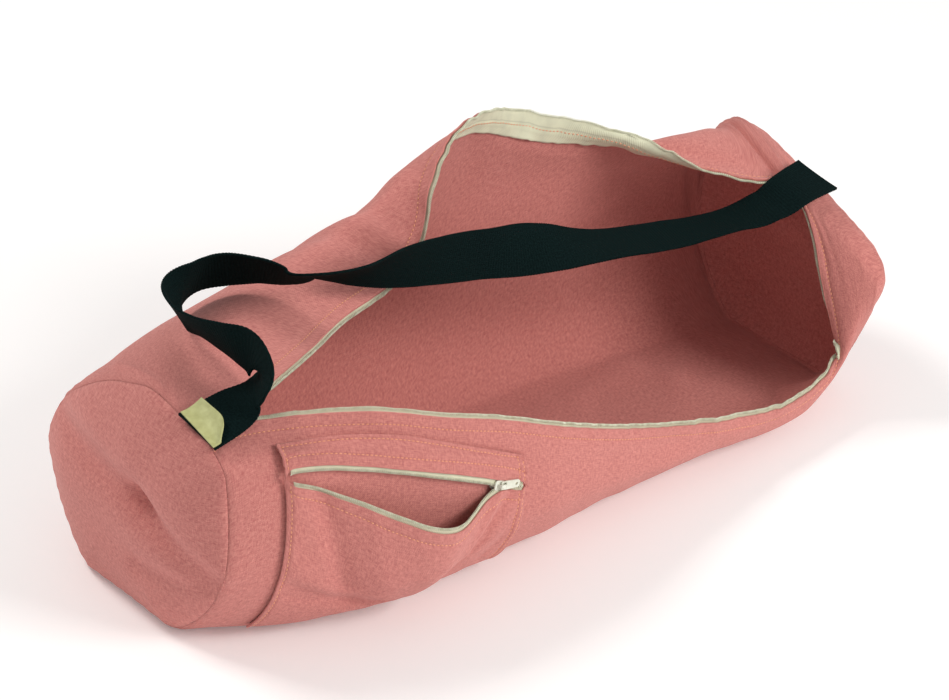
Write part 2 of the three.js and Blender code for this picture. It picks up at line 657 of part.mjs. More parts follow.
function pocketSlider() {
  const group = new THREE.Group();
  const body = new THREE.Mesh(slider(), enamel.clone());
  body.name = 'pocket_zip_slider';
  const handle = new THREE.Mesh(pull(), enamel.clone());
  handle.name = 'pocket_zip_pull';
  handle.position.z = pivotHeight;
  group.add(body, handle);
  standOnWall(group, pocketPlace(POCKET_SLIDER, 0), pocketLine(POCKET_SLIDER).zip, SLIDER_SEAT);
  bag.add(group);
}

// The main zip's slider is run back to its start at the near end, with its pull lying flat
// under the strap: one plain piece.
const MAIN_SLIDER = 0.045; // its place between the bag's seams

function mainSlider() {
  const group = new THREE.Group();
  const length = PULL_LENGTH * 0.6;
  const tongue = block(
    length, PULL_WIDTH * 0.8, PULL, -length / 2, 0, SLIDER_PLATE - WELD,
  );
  const body = new THREE.Mesh(
    joined([plate(sliderOutline, SLIDER_PLATE, 0), tongue]), enamel.clone(),
  );
  body.name = 'main_zip_slider';
  const front = edgePoint(FRONT_EDGE, MAIN_SLIDER);
  const back = edgePoint(BACK_EDGE, MAIN_SLIDER);
  group.position.copy(front.lerp(back, 0.5));
  group.position.z += COIL_HEIGHT / 2;
  group.rotation.z = Math.PI;
  group.add(body);
  bag.add(group);
}

add('main_panel', mainPanel(), canvas);
add('near_end_panel', endPanel(wallGrid[0], -1), canvas);
add('far_end_panel', endPanel(wallGrid[wallGrid.length - 1], 1), canvas);
for (const side of ['front', 'back']) {
  add(`${side}_zip_tape`, edgeBand(side, tapeReaches, TAPE_TOP, TAPE_TOP + TAPE), cream);
  add(
    `${side}_zip_coil`,
    edgeBand(side, coilReaches, TAPE_MIDDLE - COIL_HEIGHT / 2, TAPE_MIDDLE + COIL_HEIGHT / 2),
    cream,
  );
}
mainSlider();
add('shoulder_strap', strap(), webbing);
add('side_label', label(), tab);
add('pocket_band', pocketBand(), canvas);
add('pocket_panel', pocketPanel(), canvas);
add('pocket_upper_tape', lipBand(upperLip, -1, underBand, pocketTape, tapeDrops), cream);
add('pocket_upper_coil', lipBand(upperLip, -1, underBand, pocketCoil, coilDrops), cream);
add('pocket_lower_tape', lipBand(lowerLip, 1, underPanel, pocketTape, tapeDrops), cream);
add('pocket_lower_coil', lipBand(lowerLip, 1, underPanel, pocketCoil, coilDrops), cream);
pocketSlider();

export default bag;
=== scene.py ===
import math

import bmesh
import bpy
import numpy as np
from mathutils import Matrix, Vector, noise


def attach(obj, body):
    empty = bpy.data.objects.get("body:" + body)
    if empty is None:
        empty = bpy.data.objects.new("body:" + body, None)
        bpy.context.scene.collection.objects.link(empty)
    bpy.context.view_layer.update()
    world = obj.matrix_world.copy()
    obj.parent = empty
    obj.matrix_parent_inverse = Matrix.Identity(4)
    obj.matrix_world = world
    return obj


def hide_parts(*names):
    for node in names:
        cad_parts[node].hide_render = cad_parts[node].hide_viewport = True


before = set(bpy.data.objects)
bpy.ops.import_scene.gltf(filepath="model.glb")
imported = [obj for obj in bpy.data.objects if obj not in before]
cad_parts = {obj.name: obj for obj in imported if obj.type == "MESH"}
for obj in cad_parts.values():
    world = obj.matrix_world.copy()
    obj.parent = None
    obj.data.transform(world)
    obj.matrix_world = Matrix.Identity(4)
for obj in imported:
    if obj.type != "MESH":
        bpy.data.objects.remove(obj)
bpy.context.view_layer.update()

# Camera. It looks down on the bag's near end and pocket side, from far enough away that the
# ends keep nearly their true sizes, and it is rolled a little as a hand-held picture is.
AZIMUTH = math.radians(-43.3)
ELEVATION = math.radians(30)
ROLL = math.radians(5)
DISTANCE = 3.1
TARGET = Vector((0, 0, 0.095))
PICTURE_WIDTH = 949  # pixels
away = Vector((
    math.sin(AZIMUTH) * math.cos(ELEVATION),
    -math.cos(AZIMUTH) * math.cos(ELEVATION),
    math.sin(ELEVATION),
))
level = Vector((math.cos(AZIMUTH), math.sin(AZIMUTH), 0))
upright = away.cross(level)
right = level * math.cos(ROLL) + upright * math.sin(ROLL)
up = upright * math.cos(ROLL) - level * math.sin(ROLL)
lens = bpy.data.cameras.new("camera")
lens.sensor_width = 36
lens.lens = 163.8
lens.shift_x = -9.2 / PICTURE_WIDTH
lens.shift_y = 4.3 / PICTURE_WIDTH
lens.clip_start = 0.1
camera = bpy.data.objects.new("camera", lens)
camera.matrix_world = Matrix.Translation(TARGET + away * DISTANCE) @ Matrix(
    (right, up, away)
).transposed().to_4x4()
bpy.context.scene.collection.objects.link(camera)
bpy.context.scene.camera = camera
bpy.context.scene.view_settings.view_transform = "Standard"

# Floor and light. A wide white table in a pale room, lit by a big soft lamp high on the
# camera's right and by a smaller one behind the bag, whose shadow falls towards the camera.


def material_of(name):
    made = bpy.data.materials.new(name)
    made.use_nodes = True
    made.node_tree.nodes.clear()
    output = made.node_tree.nodes.new("ShaderNodeOutputMaterial")
    shader = made.node_tree.nodes.new("ShaderNodeBsdfPrincipled")
    made.node_tree.links.new(shader.outputs["BSDF"], output.inputs["Surface"])
    return made, made.node_tree, shader


def add_node(tree, kind, inputs=(), **settings):
    """A node with its settings, whose inputs are given as (socket, value or another socket)."""
    made = tree.nodes.new("ShaderNode" + kind)
    for setting, value in settings.items():
        setattr(made, setting, value)
    for socket, value in inputs:
        if isinstance(value, bpy.types.NodeSocket):
            tree.links.new(value, made.inputs[socket])
        else:
            made.inputs[socket].default_value = value
    return made


def place_object(name, mesh, material):
    made = bpy.data.objects.new(name, mesh)
    bpy.context.scene.collection.objects.link(made)
    mesh.materials.append(material)
    return made


table_paint, tree, shader = material_of("white_table")
shader.inputs["Base Color"].default_value = (0.95, 0.95, 0.95, 1)
shader.inputs["Roughness"].default_value = 0.8
shader.inputs["Emission Color"].default_value = (1, 1, 1, 1)
shader.inputs["Emission Strength"].default_value = 0.12
bm = bmesh.new()
bmesh.ops.create_grid(bm, x_segments=1, y_segments=1, size=6)
mesh = bpy.data.meshes.new("floor")
bm.to_mesh(mesh)
bm.free()
floor = place_object("floor", mesh, table_paint)

LAMPS = [  # name, where it stands, its side, power, colour
    ("front_lamp", (1.1, -2.2, 1.7), 1.2, 50, (1.0, 0.97, 0.94)),
    ("back_lamp", (-1.0, 1.5, 2.3), 0.8, 34, (1.0, 0.97, 0.93)),
]
for name, place, side, power, colour in LAMPS:
    lamp = bpy.data.lights.new(name, "AREA")
    lamp.size = side
    lamp.energy = power
    lamp.color = colour
    holder = bpy.data.objects.new(name, lamp)
    holder.location = place
    holder.rotation_euler = (TARGET - Vector(place)).to_track_quat("-Z", "Y").to_euler()
    bpy.context.scene.collection.objects.link(holder)
world = bpy.data.worlds.new("pale_room")
world.use_nodes = True
world.node_tree.nodes["Background"].inputs["Color"].default_value = (1, 1, 1, 1)
world.node_tree.nodes["Background"].inputs["Strength"].default_value = 0.46
bpy.context.scene.world = world

# Body of the bag: one wide panel of heathered salmon canvas, rolled into a tube and left open
# along its zip. Its shape is drawn by ribs between the two end seams; each rib runs from the
# mouth's front edge round under the bag to its back edge. Soft folds are laid over that.
BAG_LENGTH = 0.620
BAG_DIAMETER = 0.190
CANVAS = 0.0014
RIBS = np.array([  # place, shoulder out/up, belly out/up, floor front/back, back, rear, crest
    [0.00, -0.495, 0.75, -0.51, 0.33, -0.235, 0.26, 0.54, 0.40, 0.41, 0.68, 0.00, 0.905],
    [0.12, -0.60, 0.695, -0.61, 0.265, -0.41, 0.29, 0.56, 0.38, 0.49, 0.73, 0.19, 0.935],
    [0.26, -0.69, 0.62, -0.68, 0.25, -0.435, 0.315, 0.57, 0.39, 0.52, 0.79, 0.305, 0.98],
    [0.40, -0.69, 0.505, -0.68, 0.235, -0.455, 0.325, 0.57, 0.39, 0.55, 0.82, 0.395, 1.03],
    [0.52, -0.665, 0.39, -0.64, 0.20, -0.42, 0.335, 0.57, 0.38, 0.56, 0.82, 0.52, 1.10],
    [0.64, -0.615, 0.275, -0.59, 0.15, -0.375, 0.335, 0.565, 0.375, 0.565, 0.75, 0.54, 1.0],
    [0.76, -0.59, 0.165, -0.525, 0.075, -0.335, 0.325, 0.545, 0.36, 0.54, 0.68, 0.45, 0.91],
    [0.88, -0.545, 0.155, -0.51, 0.075, -0.28, 0.295, 0.535, 0.36, 0.50, 0.69, 0.31, 0.935],
    [0.94, -0.51, 0.23, -0.44, 0.135, -0.23, 0.28, 0.525, 0.355, 0.475, 0.69, 0.29, 0.925],
    [1.00, -0.51, 0.62, -0.465, 0.35, -0.25, 0.265, 0.515, 0.35, 0.475, 0.705, 0.295, 0.915],
])
FRONT_EDGE = np.array([  # place, along, out, up
    [0.00, -0.494, -0.37, 0.858], [0.04, -0.464, -0.345, 0.862], [0.12, -0.387, -0.442, 0.874],
    [0.20, -0.306, -0.558, 0.858], [0.28, -0.226, -0.626, 0.78], [0.36, -0.148, -0.658, 0.70],
    [0.44, -0.066, -0.668, 0.59], [0.52, 0.0145, -0.658, 0.484], [0.60, 0.0935, -0.637, 0.39],
    [0.68, 0.177, -0.616, 0.305], [0.76, 0.255, -0.595, 0.237], [0.82, 0.323, -0.579, 0.195],
    [0.87, 0.38, -0.547, 0.195], [0.91, 0.426, -0.51, 0.226], [0.94, 0.448, -0.458, 0.295],
    [0.96, 0.447, -0.40, 0.42], [0.975, 0.442, -0.347, 0.568], [0.985, 0.4435, -0.29, 0.69],
    [0.99, 0.4475, -0.215, 0.78], [0.995, 0.455, -0.135, 0.83], [1.00, 0.49, -0.122, 0.845],
])
BACK_EDGE = np.array([
    [0.00, -0.494, -0.31, 0.865], [0.04, -0.464, -0.286, 0.865], [0.12, -0.38, -0.21, 0.874],
    [0.20, -0.29, -0.075, 0.85], [0.28, -0.20, 0.075, 0.83], [0.35, -0.124, 0.16, 0.82],
    [0.40, -0.077, 0.22, 0.826], [0.44, -0.039, 0.263, 0.937], [0.48, -0.01, 0.337, 1.116],
    [0.52, 0.032, 0.41, 1.215], [0.58, 0.103, 0.48, 1.21], [0.66, 0.18, 0.495, 1.105],
    [0.74, 0.258, 0.40, 0.984], [0.82, 0.33, 0.22, 0.895], [0.90, 0.403, 0.01, 0.842],
    [0.96, 0.45, -0.075, 0.83], [0.98, 0.462, -0.08, 0.84], [1.00, 0.49, -0.078, 0.848],
])


def table_at(rows, keys):
    """Smooth curve through the rows of a table whose first column is the key."""
    keys = np.atleast_1d(np.asarray(keys, float))
    i = np.clip(np.searchsorted(rows[:, 0], keys, side="right") - 1, 0, len(rows) - 2)
    low = np.maximum(np.arange(len(rows)) - 1, 0)
    high = np.minimum(np.arange(len(rows)) + 1, len(rows) - 1)
    slope = (rows[high] - rows[low]) / (rows[high, :1] - rows[low, :1])
    span = (rows[i + 1, :1] - rows[i, :1])
    t = (keys[:, None] - rows[i, :1]) / span
    return (
        (2 * t**3 - 3 * t**2 + 1) * rows[i] + (3 * t**2 - 2 * t**3) * rows[i + 1]
        + ((t**3 - 2 * t**2 + t) * slope[i] + (t**3 - t**2) * slope[i + 1]) * span
    )


def rib_points(place, rounds):
    """Points of one rib at shares of the way round, front edge 0 to back edge 1."""
    rib = table_at(RIBS, place)[0] * BAG_DIAMETER
    size = np.array([BAG_LENGTH, BAG_DIAMETER, BAG_DIAMETER])
    front = table_at(FRONT_EDGE, place)[0, 1:] * size
    back = table_at(BACK_EDGE, place)[0, 1:] * size
    x = (place - 0.5) * BAG_LENGTH
    points = np.array([
        front,
        (x + 0.3 * (front[0] - x), rib[1], rib[2]),
        (x + 0.1 * (front[0] - x), rib[3], rib[4]),
        (x, rib[5], 0),
        (x, rib[6], 0),
        (x, rib[7], rib[8]),
        (x + 0.3 * (back[0] - x), rib[9], rib[10]),
        (x + 0.7 * (back[0] - x), rib[11], rib[12]),
        back,
    ])
    keys = np.sqrt(np.linalg.norm(np.diff(points, axis=0), axis=1) * 1000)
    keys = np.concatenate([[0], np.cumsum(keys)])
    at = np.interp(rounds, np.linspace(0, 1, len(keys)), keys)
    made = table_at(np.column_stack([keys, points]), at)[:, 1:]
    made[:, 2] = np.maximum(made[:, 2], 0)
    return made


def steps(*parts):
    """Values from part to part, each part given as (start, number of steps)."""
    ends = [start for start, count in parts[1:]]
    return np.concatenate(
        [np.linspace(a, b, n, endpoint=False) for (a, n), b in zip(parts, ends)]
        + [[parts[-1][0]]]
    )


def normals_of(points):
    """Outward unit normals of a grid of points whose rows run along the bag."""
    along = np.gradient(points, axis=0)
    down = np.gradient(points, axis=1)
    across = np.cross(down, along)
    return across / np.maximum(np.linalg.norm(across, axis=2, keepdims=True), 1e-12)


def rippled(values, spots, size, seed):
    """Smooth noise from -1 to 1 at pairs of cloth coordinates, for a lump size in metres."""
    flat = np.stack(np.broadcast_arrays(values, spots), axis=-1).reshape(-1, 2) / size
    made = [noise.noise(Vector((a, b, seed))) for a, b in flat]
    return np.array(made).reshape(np.broadcast(values, spots).shape)


PLACES = steps((0, 12), (0.03, 132), (0.9, 50), (0.99, 8), (1, 0))
ROUNDS = steps((0, 16), (0.04, 166), (0.96, 16), (1, 0))
FOLD_GIRTH = 0.56  # way round that the folds below are laid out on
bare_wall = np.array([rib_points(place, ROUNDS) for place in PLACES])

FOLDS = [  # place, round, to place, to round, half width, height; below zero is a hollow
    (0.004, 0.015, 0.072, 0.10, 0.0045, -0.0014), (0.004, 0.055, 0.058, 0.17, 0.009, 0.0014),
    (0.012, 0.985, 0.03, 0.90, 0.006, 0.0022), (0.002, 0.93, 0.05, 0.86, 0.009, -0.0016),
    (0.015, 0.32, 0.06, 0.22, 0.011, 0.0016), (0.01, 0.80, 0.20, 0.86, 0.014, 0.0016),
    (0.03, 0.74, 0.24, 0.78, 0.016, -0.0018), (0.30, 0.86, 0.41, 0.985, 0.011, 0.0024),
    (0.22, 0.83, 0.36, 0.985, 0.012, -0.0022), (0.43, 0.99, 0.37, 0.84, 0.009, -0.0018),
    (0.465, 0.985, 0.45, 0.80, 0.012, 0.0022), (0.51, 0.985, 0.51, 0.76, 0.014, -0.0016),
    (0.56, 0.98, 0.60, 0.76, 0.016, 0.0018), (0.65, 0.985, 0.71, 0.78, 0.013, -0.002),
    (0.74, 0.985, 0.80, 0.80, 0.012, 0.002), (0.81, 0.98, 0.86, 0.78, 0.011, -0.0016),
    (0.87, 0.975, 0.925, 0.82, 0.011, 0.0036), (0.925, 0.97, 0.975, 0.83, 0.011, -0.0062),
    (0.955, 0.985, 0.995, 0.91, 0.006, 0.0026), (0.955, 0.93, 1.0, 0.84, 0.030, 0.0065),
    (0.95, 0.03, 0.985, 0.17, 0.006, 0.0016), (0.965, 0.05, 0.998, 0.22, 0.005, -0.0014),
    (0.985, 0.03, 0.998, 0.13, 0.005, 0.0013), (0.90, 0.10, 0.99, 0.30, 0.009, 0.0014),
    (0.40, 0.03, 0.50, 0.30, 0.018, 0.0018), (0.50, 0.02, 0.60, 0.28, 0.016, -0.0018),
    (0.60, 0.03, 0.73, 0.27, 0.018, 0.0018), (0.72, 0.04, 0.84, 0.25, 0.014, -0.0016),
    (0.80, 0.05, 0.91, 0.27, 0.012, 0.0016), (0.05, 0.31, 0.46, 0.36, 0.016, 0.002),
    (0.34, 0.34, 0.80, 0.31, 0.016, -0.0016), (0.10, 0.62, 0.50, 0.70, 0.026, 0.0028),
    (0.28, 0.56, 0.90, 0.63, 0.03, -0.0024), (0.55, 0.73, 0.95, 0.67, 0.022, 0.0026),
    (0.04, 0.66, 0.22, 0.60, 0.016, -0.002), (0.82, 0.58, 0.99, 0.66, 0.014, 0.002),
]
HEM_DEPTH = 0.0085  # from the fold of the mouth's hem to its row of stitches
SEAM_ROLL = 0.0018  # how far the cloth turns in at an end seam


def relief_of(place, reach, left):
    """How far the cloth stands off its plain wall. reach and left are the distances along the
    cloth to the front and back edges of the mouth."""
    s = place * BAG_LENGTH
    t = reach
    high = 0.0016 * rippled(s, t, 0.075, 1.5) + 0.0007 * rippled(s, t, 0.028, 4.5)
    for p0, r0, p1, r1, width, height in FOLDS:
        start = np.array([p0 * BAG_LENGTH, r0 * FOLD_GIRTH])
        run = np.array([p1 * BAG_LENGTH, r1 * FOLD_GIRTH]) - start
        length = np.linalg.norm(run)
        ds, dt = s - start[0], t - start[1]
        share = np.clip((ds * run[0] + dt * run[1]) / length**2, 0, 1)
        far = np.hypot(ds - share * run[0], dt - share * run[1])
        bend = 1 + 0.5 * rippled(s, t, 0.03, 9 + height * 1e4)
        high = high + height * np.exp(-(far / (width * bend)) ** 2) * (0.45 + 0.55 * share)
    for end in (s, BAG_LENGTH - s):
        high = high - SEAM_ROLL * np.exp(-((end / 0.0028) ** 1.4))
        pucker = np.sin(t / 0.0021 + 4 * rippled(t, end * 0, 0.03, 2.5))
        high = high + 0.0007 * pucker * np.exp(-end / 0.009) * (1 - np.exp(-end / 0.002))
    window = np.exp(-(((place - 0.775) / 0.155) ** 4))
    high = high + 0.013 * window * np.maximum(0, 1 - left / 0.026) ** 1.6
    for edge in (reach, left):
        hem = 0.5 - 0.5 * np.tanh((edge - HEM_DEPTH) / 0.0012)
        high = high + 0.0004 * hem - 0.0006 * np.exp(-(((edge - HEM_DEPTH) / 0.0010) ** 2))
        wave = rippled(s, edge * 0, 0.011, 6.5) + 0.6 * rippled(s, edge * 0, 0.005, 3.5)
        high = high + 0.0013 * wave * np.exp(-edge / 0.008)
    return high


def lengths_round(points):
    """Distance along the cloth from the front edge, at each point of each rib."""
    gaps = np.linalg.norm(np.diff(points, axis=1), axis=2)
    return np.concatenate([np.zeros((len(points), 1)), np.cumsum(gaps, axis=1)], axis=1)


def quiet_under(place, round_):
    """Share of the folds that is left: few lie under the pocket, which has its own."""
    across = 1 / (1 + np.exp(-(np.minimum(place - 0.045, 0.40 - place)) / 0.008))
    down = 1 / (1 + np.exp(-(np.minimum(round_ - 0.05, 0.36 - round_)) / 0.012))
    return 1 - 0.88 * across * down


bare_round = lengths_round(bare_wall)
relief = relief_of(PLACES[:, None], bare_round, bare_round[:, -1:] - bare_round)
relief = relief * quiet_under(PLACES[:, None], ROUNDS[None, :])
wall = bare_wall + normals_of(bare_wall) * relief[..., None]
wall[..., 2] = np.maximum(wall[..., 2], 0.0002)
wall_normals = normals_of(wall)
wall_round = lengths_round(wall)


def cloth_mesh(name, points, flat, closed=False):
    """Grid of faces whose corners go to points[i][j], with flat[i][j] as their cloth place."""
    rows, columns = points.shape[:2]
    grid = bmesh.new()
    uv = grid.loops.layers.uv.new("cloth")
    bmesh.ops.create_grid(
        grid, x_segments=rows - 1, y_segments=columns - 1, size=0.5, calc_uvs=True
    )
    for face in grid.faces:
        for loop in face.loops:
            i, j = (round((c + 0.5) * (n - 1)) for c, n in zip(loop.vert.co, (rows, columns)))
            loop[uv].uv = flat[i][j]
    for vert in grid.verts:
        i, j = (round((c + 0.5) * (n - 1)) for c, n in zip(vert.co, (rows, columns)))
        vert.co = points[i][j]
    bmesh.ops.reverse_faces(grid, faces=grid.faces)
    if closed:
        bmesh.ops.remove_doubles(grid, verts=grid.verts, dist=1e-6)
    for face in grid.faces:
        face.smooth = True
    made = bpy.data.meshes.new(name)
    grid.to_mesh(made)
    grid.free()
    return made


def thicken(piece, thickness, offset):
    """Gives a sheet its thickness: offset -1 is inwards, 0 is to both sides."""
    wall_maker = piece.modifiers.new("thickness", "SOLIDIFY")
    wall_maker.thickness = thickness
    wall_maker.offset = offset


def canvas_material(name, dark, light, yarn=0.00075):
    """Plain-weave canvas, heathered: each yarn has its own shade. Reads the cloth's UV map."""
    made, tree, shader = material_of(name)
    cloth = add_node(tree, "UVMap", uv_map="cloth").outputs["UV"]
    streaks = []
    for along, across in ((0.0045, yarn), (yarn, 0.0045)):
        stretched = add_node(
            tree, "Mapping", [("Vector", cloth), ("Scale", (1 / along, 1 / across, 1))]
        )
        streak = add_node(
            tree, "TexNoise", [("Vector", stretched.outputs[0]), ("Scale", 1.0), ("Detail", 2.0)]
        )
        streaks.append(streak.outputs["Fac"])
    yarns = add_node(
        tree, "Math", [(0, streaks[0]), (1, streaks[1])], operation="ADD", use_clamp=False
    )
    cloudy = add_node(
        tree, "TexNoise", [("Vector", cloth), ("Scale", 400.0), ("Detail", 3.0)]
    )
    shade = add_node(
        tree, "Math", [(0, yarns.outputs[0]), (1, cloudy.outputs["Fac"])], operation="ADD"
    )
    ramp = add_node(tree, "ValToRGB", [("Fac", shade.outputs[0])])
    third = add_node(
        tree, "Math", [(0, shade.outputs[0]), (1, 1 / 3)], operation="MULTIPLY"
    )
    tree.links.new(third.outputs[0], ramp.inputs["Fac"])
    ramp.color_ramp.elements[0].position = 0.36
    ramp.color_ramp.elements[0].color = (*dark, 1)
    ramp.color_ramp.elements[1].position = 0.64
    ramp.color_ramp.elements[1].color = (*light, 1)
    tree.links.new(ramp.outputs["Color"], shader.inputs["Base Color"])
    threads = []
    for direction in ("X", "Y"):
        thread = add_node(
            tree, "TexWave", [("Vector", cloth), ("Scale", 0.314 / (2 * yarn))],
            wave_type="BANDS", bands_direction=direction, wave_profile="SIN",
        )
        centred = add_node(
            tree, "Math", [(0, thread.outputs["Fac"]), (1, 0.5)], operation="SUBTRACT"
        )
        threads.append(centred.outputs[0])
    crossing = add_node(
        tree, "Math", [(0, threads[0]), (1, threads[1])], operation="MULTIPLY"
    )
    height = add_node(
        tree, "Math", [(0, crossing.outputs[0]), (1, yarns.outputs[0])], operation="ADD"
    )
    bump = add_node(
        tree, "Bump",
        [("Height", height.outputs[0]), ("Strength", 0.55), ("Distance", 0.0005)],
    )
    tree.links.new(bump.outputs["Normal"], shader.inputs["Normal"])
    shader.inputs["Roughness"].default_value = 0.92
    shader.inputs["Specular IOR Level"].default_value = 0.25
    shader.inputs["Sheen Weight"].default_value = 0.22
    shader.inputs["Sheen Roughness"].default_value = 0.6
    shader.inputs["Sheen Tint"].default_value = (1.0, 0.72, 0.68, 1)
    return made


DARK_SALMON = (0.46, 0.135, 0.125)
LIGHT_SALMON = (0.70, 0.275, 0.235)
canvas = canvas_material("salmon_canvas", DARK_SALMON, LIGHT_SALMON)
wall_along = np.linalg.norm(np.diff(wall, axis=0), axis=2).cumsum(axis=0)
wall_along = np.concatenate([np.zeros((1, wall.shape[1])), wall_along])
flat_place = np.stack([wall_along - wall_along[len(wall) // 2], wall_round], axis=-1)
body = place_object("canvas_body", cloth_mesh("canvas_body", wall, flat_place), canvas)
thicken(body, CANVAS, -1)
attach(body, "bag")
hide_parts("main_panel")


def at_grid(values, place, round_):
    """Values of a grid over the wall, between its points. place and round_ may be arrays."""
    place, round_ = np.broadcast_arrays(place, round_)
    a = np.interp(place, PLACES, np.arange(len(PLACES)))
    b = np.interp(round_, ROUNDS, np.arange(len(ROUNDS)))
    i = np.clip(a.astype(int), 0, len(PLACES) - 2)
    j = np.clip(b.astype(int), 0, len(ROUNDS) - 2)
    a, b = (a - i)[..., None], (b - j)[..., None]
    return (
        values[i, j] * (1 - a) * (1 - b) + values[i + 1, j] * a * (1 - b)
        + values[i, j + 1] * (1 - a) * b + values[i + 1, j + 1] * a * b
    )


def over_wall(place, round_, height):
    """Points at a height over the wall's outer face; a height below zero is behind it."""
    normal = at_grid(wall_normals, place, round_)
    normal = normal / np.linalg.norm(normal, axis=-1, keepdims=True)
    return at_grid(wall, place, round_) + normal * np.asarray(height)[..., None]


# End panels: two discs of the same canvas, sewn to the body's ends with the seam turned in.
# Each bulges softly outwards; the near one has sagged and carries two broad slanting folds.
END_DOME = 0.0185
END_FOLDS = {  # out, up, to out, to up as shares of the diameter, half width, height in metres
    "near_end": [
        (0.48, 0.60, -0.12, 0.51, 0.011, -0.0060), (-0.10, 0.51, -0.50, 0.33, 0.011, -0.0085),
        (0.40, 0.75, -0.40, 0.60, 0.020, 0.0050), (-0.13, 0.24, -0.50, 0.30, 0.009, -0.0040),
        (0.35, 0.40, -0.35, 0.36, 0.016, 0.0036), (0.30, 0.24, -0.35, 0.10, 0.018, 0.0022),
        (-0.10, 0.86, -0.46, 0.62, 0.012, 0.0018), (0.30, 0.82, 0.05, 0.70, 0.010, -0.0014),
    ],
    "far_end": [
        (-0.45, 0.42, 0.40, 0.55, 0.015, -0.0045), (-0.40, 0.62, 0.42, 0.74, 0.018, 0.0030),
        (-0.20, 0.20, 0.45, 0.26, 0.014, -0.0030), (-0.10, 0.84, 0.10, 0.60, 0.010, 0.0018),
    ],
}
RIM_STEPS = steps((1, 10), (0.93, 8), (0.8, 18), (0, 0))  # shares of the way out to the rim
END_CLEAR = 0.0002
SPOKES = 192


def end_panel(name, rib, outward, folds):
    """Disc of cloth over the ring of points of the body's last rib."""
    ring = np.concatenate([rib, rib[:1]])
    gone = np.concatenate([[0], np.cumsum(np.linalg.norm(np.diff(ring, axis=0), axis=1))])
    spots = np.linspace(0, gone[-1], SPOKES + 1)
    ring = np.stack([np.interp(spots, gone, ring[:, k]) for k in range(3)], axis=-1)
    centre = rib.mean(axis=0)
    share = RIM_STEPS[:, None]
    points = centre + (ring[None] - centre) * share[..., None]
    from_rim = (1 - share) * BAG_DIAMETER / 2
    lift = END_DOME * (1 - share**3.5) * 0.9 + 0.1 * END_DOME * (1 - np.exp(-from_rim / 0.002))
    flat = points[..., 1:]
    for out0, up0, out1, up1, width, height in folds:
        start = np.array([out0, up0]) * BAG_DIAMETER
        run = np.array([out1, up1]) * BAG_DIAMETER - start
        gap = flat - start
        along = np.clip((gap @ run) / (run @ run), 0, 1)
        far = np.linalg.norm(gap - along[..., None] * run, axis=-1)
        bend = 1 + 0.35 * rippled(flat[..., 0], flat[..., 1], 0.05, height * 1e4)
        lift = lift + height * np.exp(-((far / (width * bend)) ** 2)) * np.sqrt(1 - share**4)
    lift = lift + 0.0013 * rippled(flat[..., 0], flat[..., 1], 0.045, 7.5) * (1 - share**6)
    pucker = np.sin(spots / 0.0021 + 4 * rippled(spots, spots * 0, 0.03, 5.5))
    pucker = pucker * (1 - np.exp(-((np.minimum(spots, gone[-1] - spots) / 0.01) ** 2)))
    lift = lift + 0.0006 * pucker * np.exp(-from_rim / 0.008) * (1 - np.exp(-from_rim / 0.002))
    lift[:, -1] = lift[:, 0]
    points[..., 0] += outward * (END_CLEAR + lift)
    points[..., 2] = np.maximum(points[..., 2], 0.0002)
    if outward < 0:
        points, flat = points[::-1], flat[::-1]
    piece = place_object(name, cloth_mesh(name, points, flat, closed=True), canvas)
    thicken(piece, CANVAS, -1)
    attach(piece, "bag")
    return piece


near_end = end_panel("near_end_cloth", wall[0], -1, END_FOLDS["near_end"])
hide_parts("near_end_panel")
far_end = end_panel("far_end_cloth", wall[-1], 1, END_FOLDS["far_end"])
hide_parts("far_end_panel")

# Mouth hems: the canvas is folded over along both edges of the mouth, so each edge is a soft
# round roll of cloth, and a row of peach thread runs beside it through hem and zip tape.
HEM_ROLL = 0.0011  # radius of the fold


def unit(vectors):
    return vectors / np.linalg.norm(vectors, axis=-1, keepdims=True)


def edge_frame(side):
    """Direction out past an edge of the mouth, at each rib."""
    order = wall if side == "front" else wall[:, ::-1]
    return unit(order[:, 0] - order[:, 7])


def edge_points(side, reach, depth):
    """Points along an edge of the mouth, a distance in from it along the cloth and a depth
    behind the wall's outer face. A reach below zero looks out past the edge."""
    reach = np.broadcast_to(reach, len(PLACES)).astype(float)
    depth = np.broadcast_to(depth, len(PLACES)).astype(float)
    spot = np.maximum(reach, 0)
    if side == "back":
        spot = wall_round[:, -1] - spot
    rounds = np.array([np.interp(a, b, ROUNDS) for a, b in zip(spot, wall_round)])
    return (
        over_wall(PLACES, rounds, -depth)
        + edge_frame(side) * np.maximum(-reach, 0)[:, None]
    )


def run_length(points):
    """Distance along a path at each of its points."""
    return np.concatenate([[0], np.cumsum(np.linalg.norm(np.diff(points, axis=0), axis=1))])


def roll_of_cloth(name, centre, out, normal, radius, material):
    """Closed roll along a path, with the cloth's UV map: out and normal are its two axes."""
    turns = np.linspace(0, 2 * math.pi, 13)
    points = centre[:, None] + radius * (
        out[:, None] * np.cos(turns)[:, None] - normal[:, None] * np.sin(turns)[:, None]
    )
    spots = run_length(centre)
    flat = np.stack(np.broadcast_arrays(spots[:, None], radius * turns), axis=-1)
    piece = place_object(name, cloth_mesh(name, points, flat, closed=True), material)
    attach(piece, "bag")
    return piece


edge_normals = {
    "front": unit(wall_normals[:, 3]),
    "back": unit(wall_normals[:, -4]),
}
for side in ("front", "back"):
    out = edge_frame(side) if side == "front" else -edge_frame(side)
    roll_of_cloth(
        f"{side}_mouth_hem", edge_points(side, 0.0003, CANVAS * 0.62), out,
        edge_normals[side], HEM_ROLL, canvas,
    )

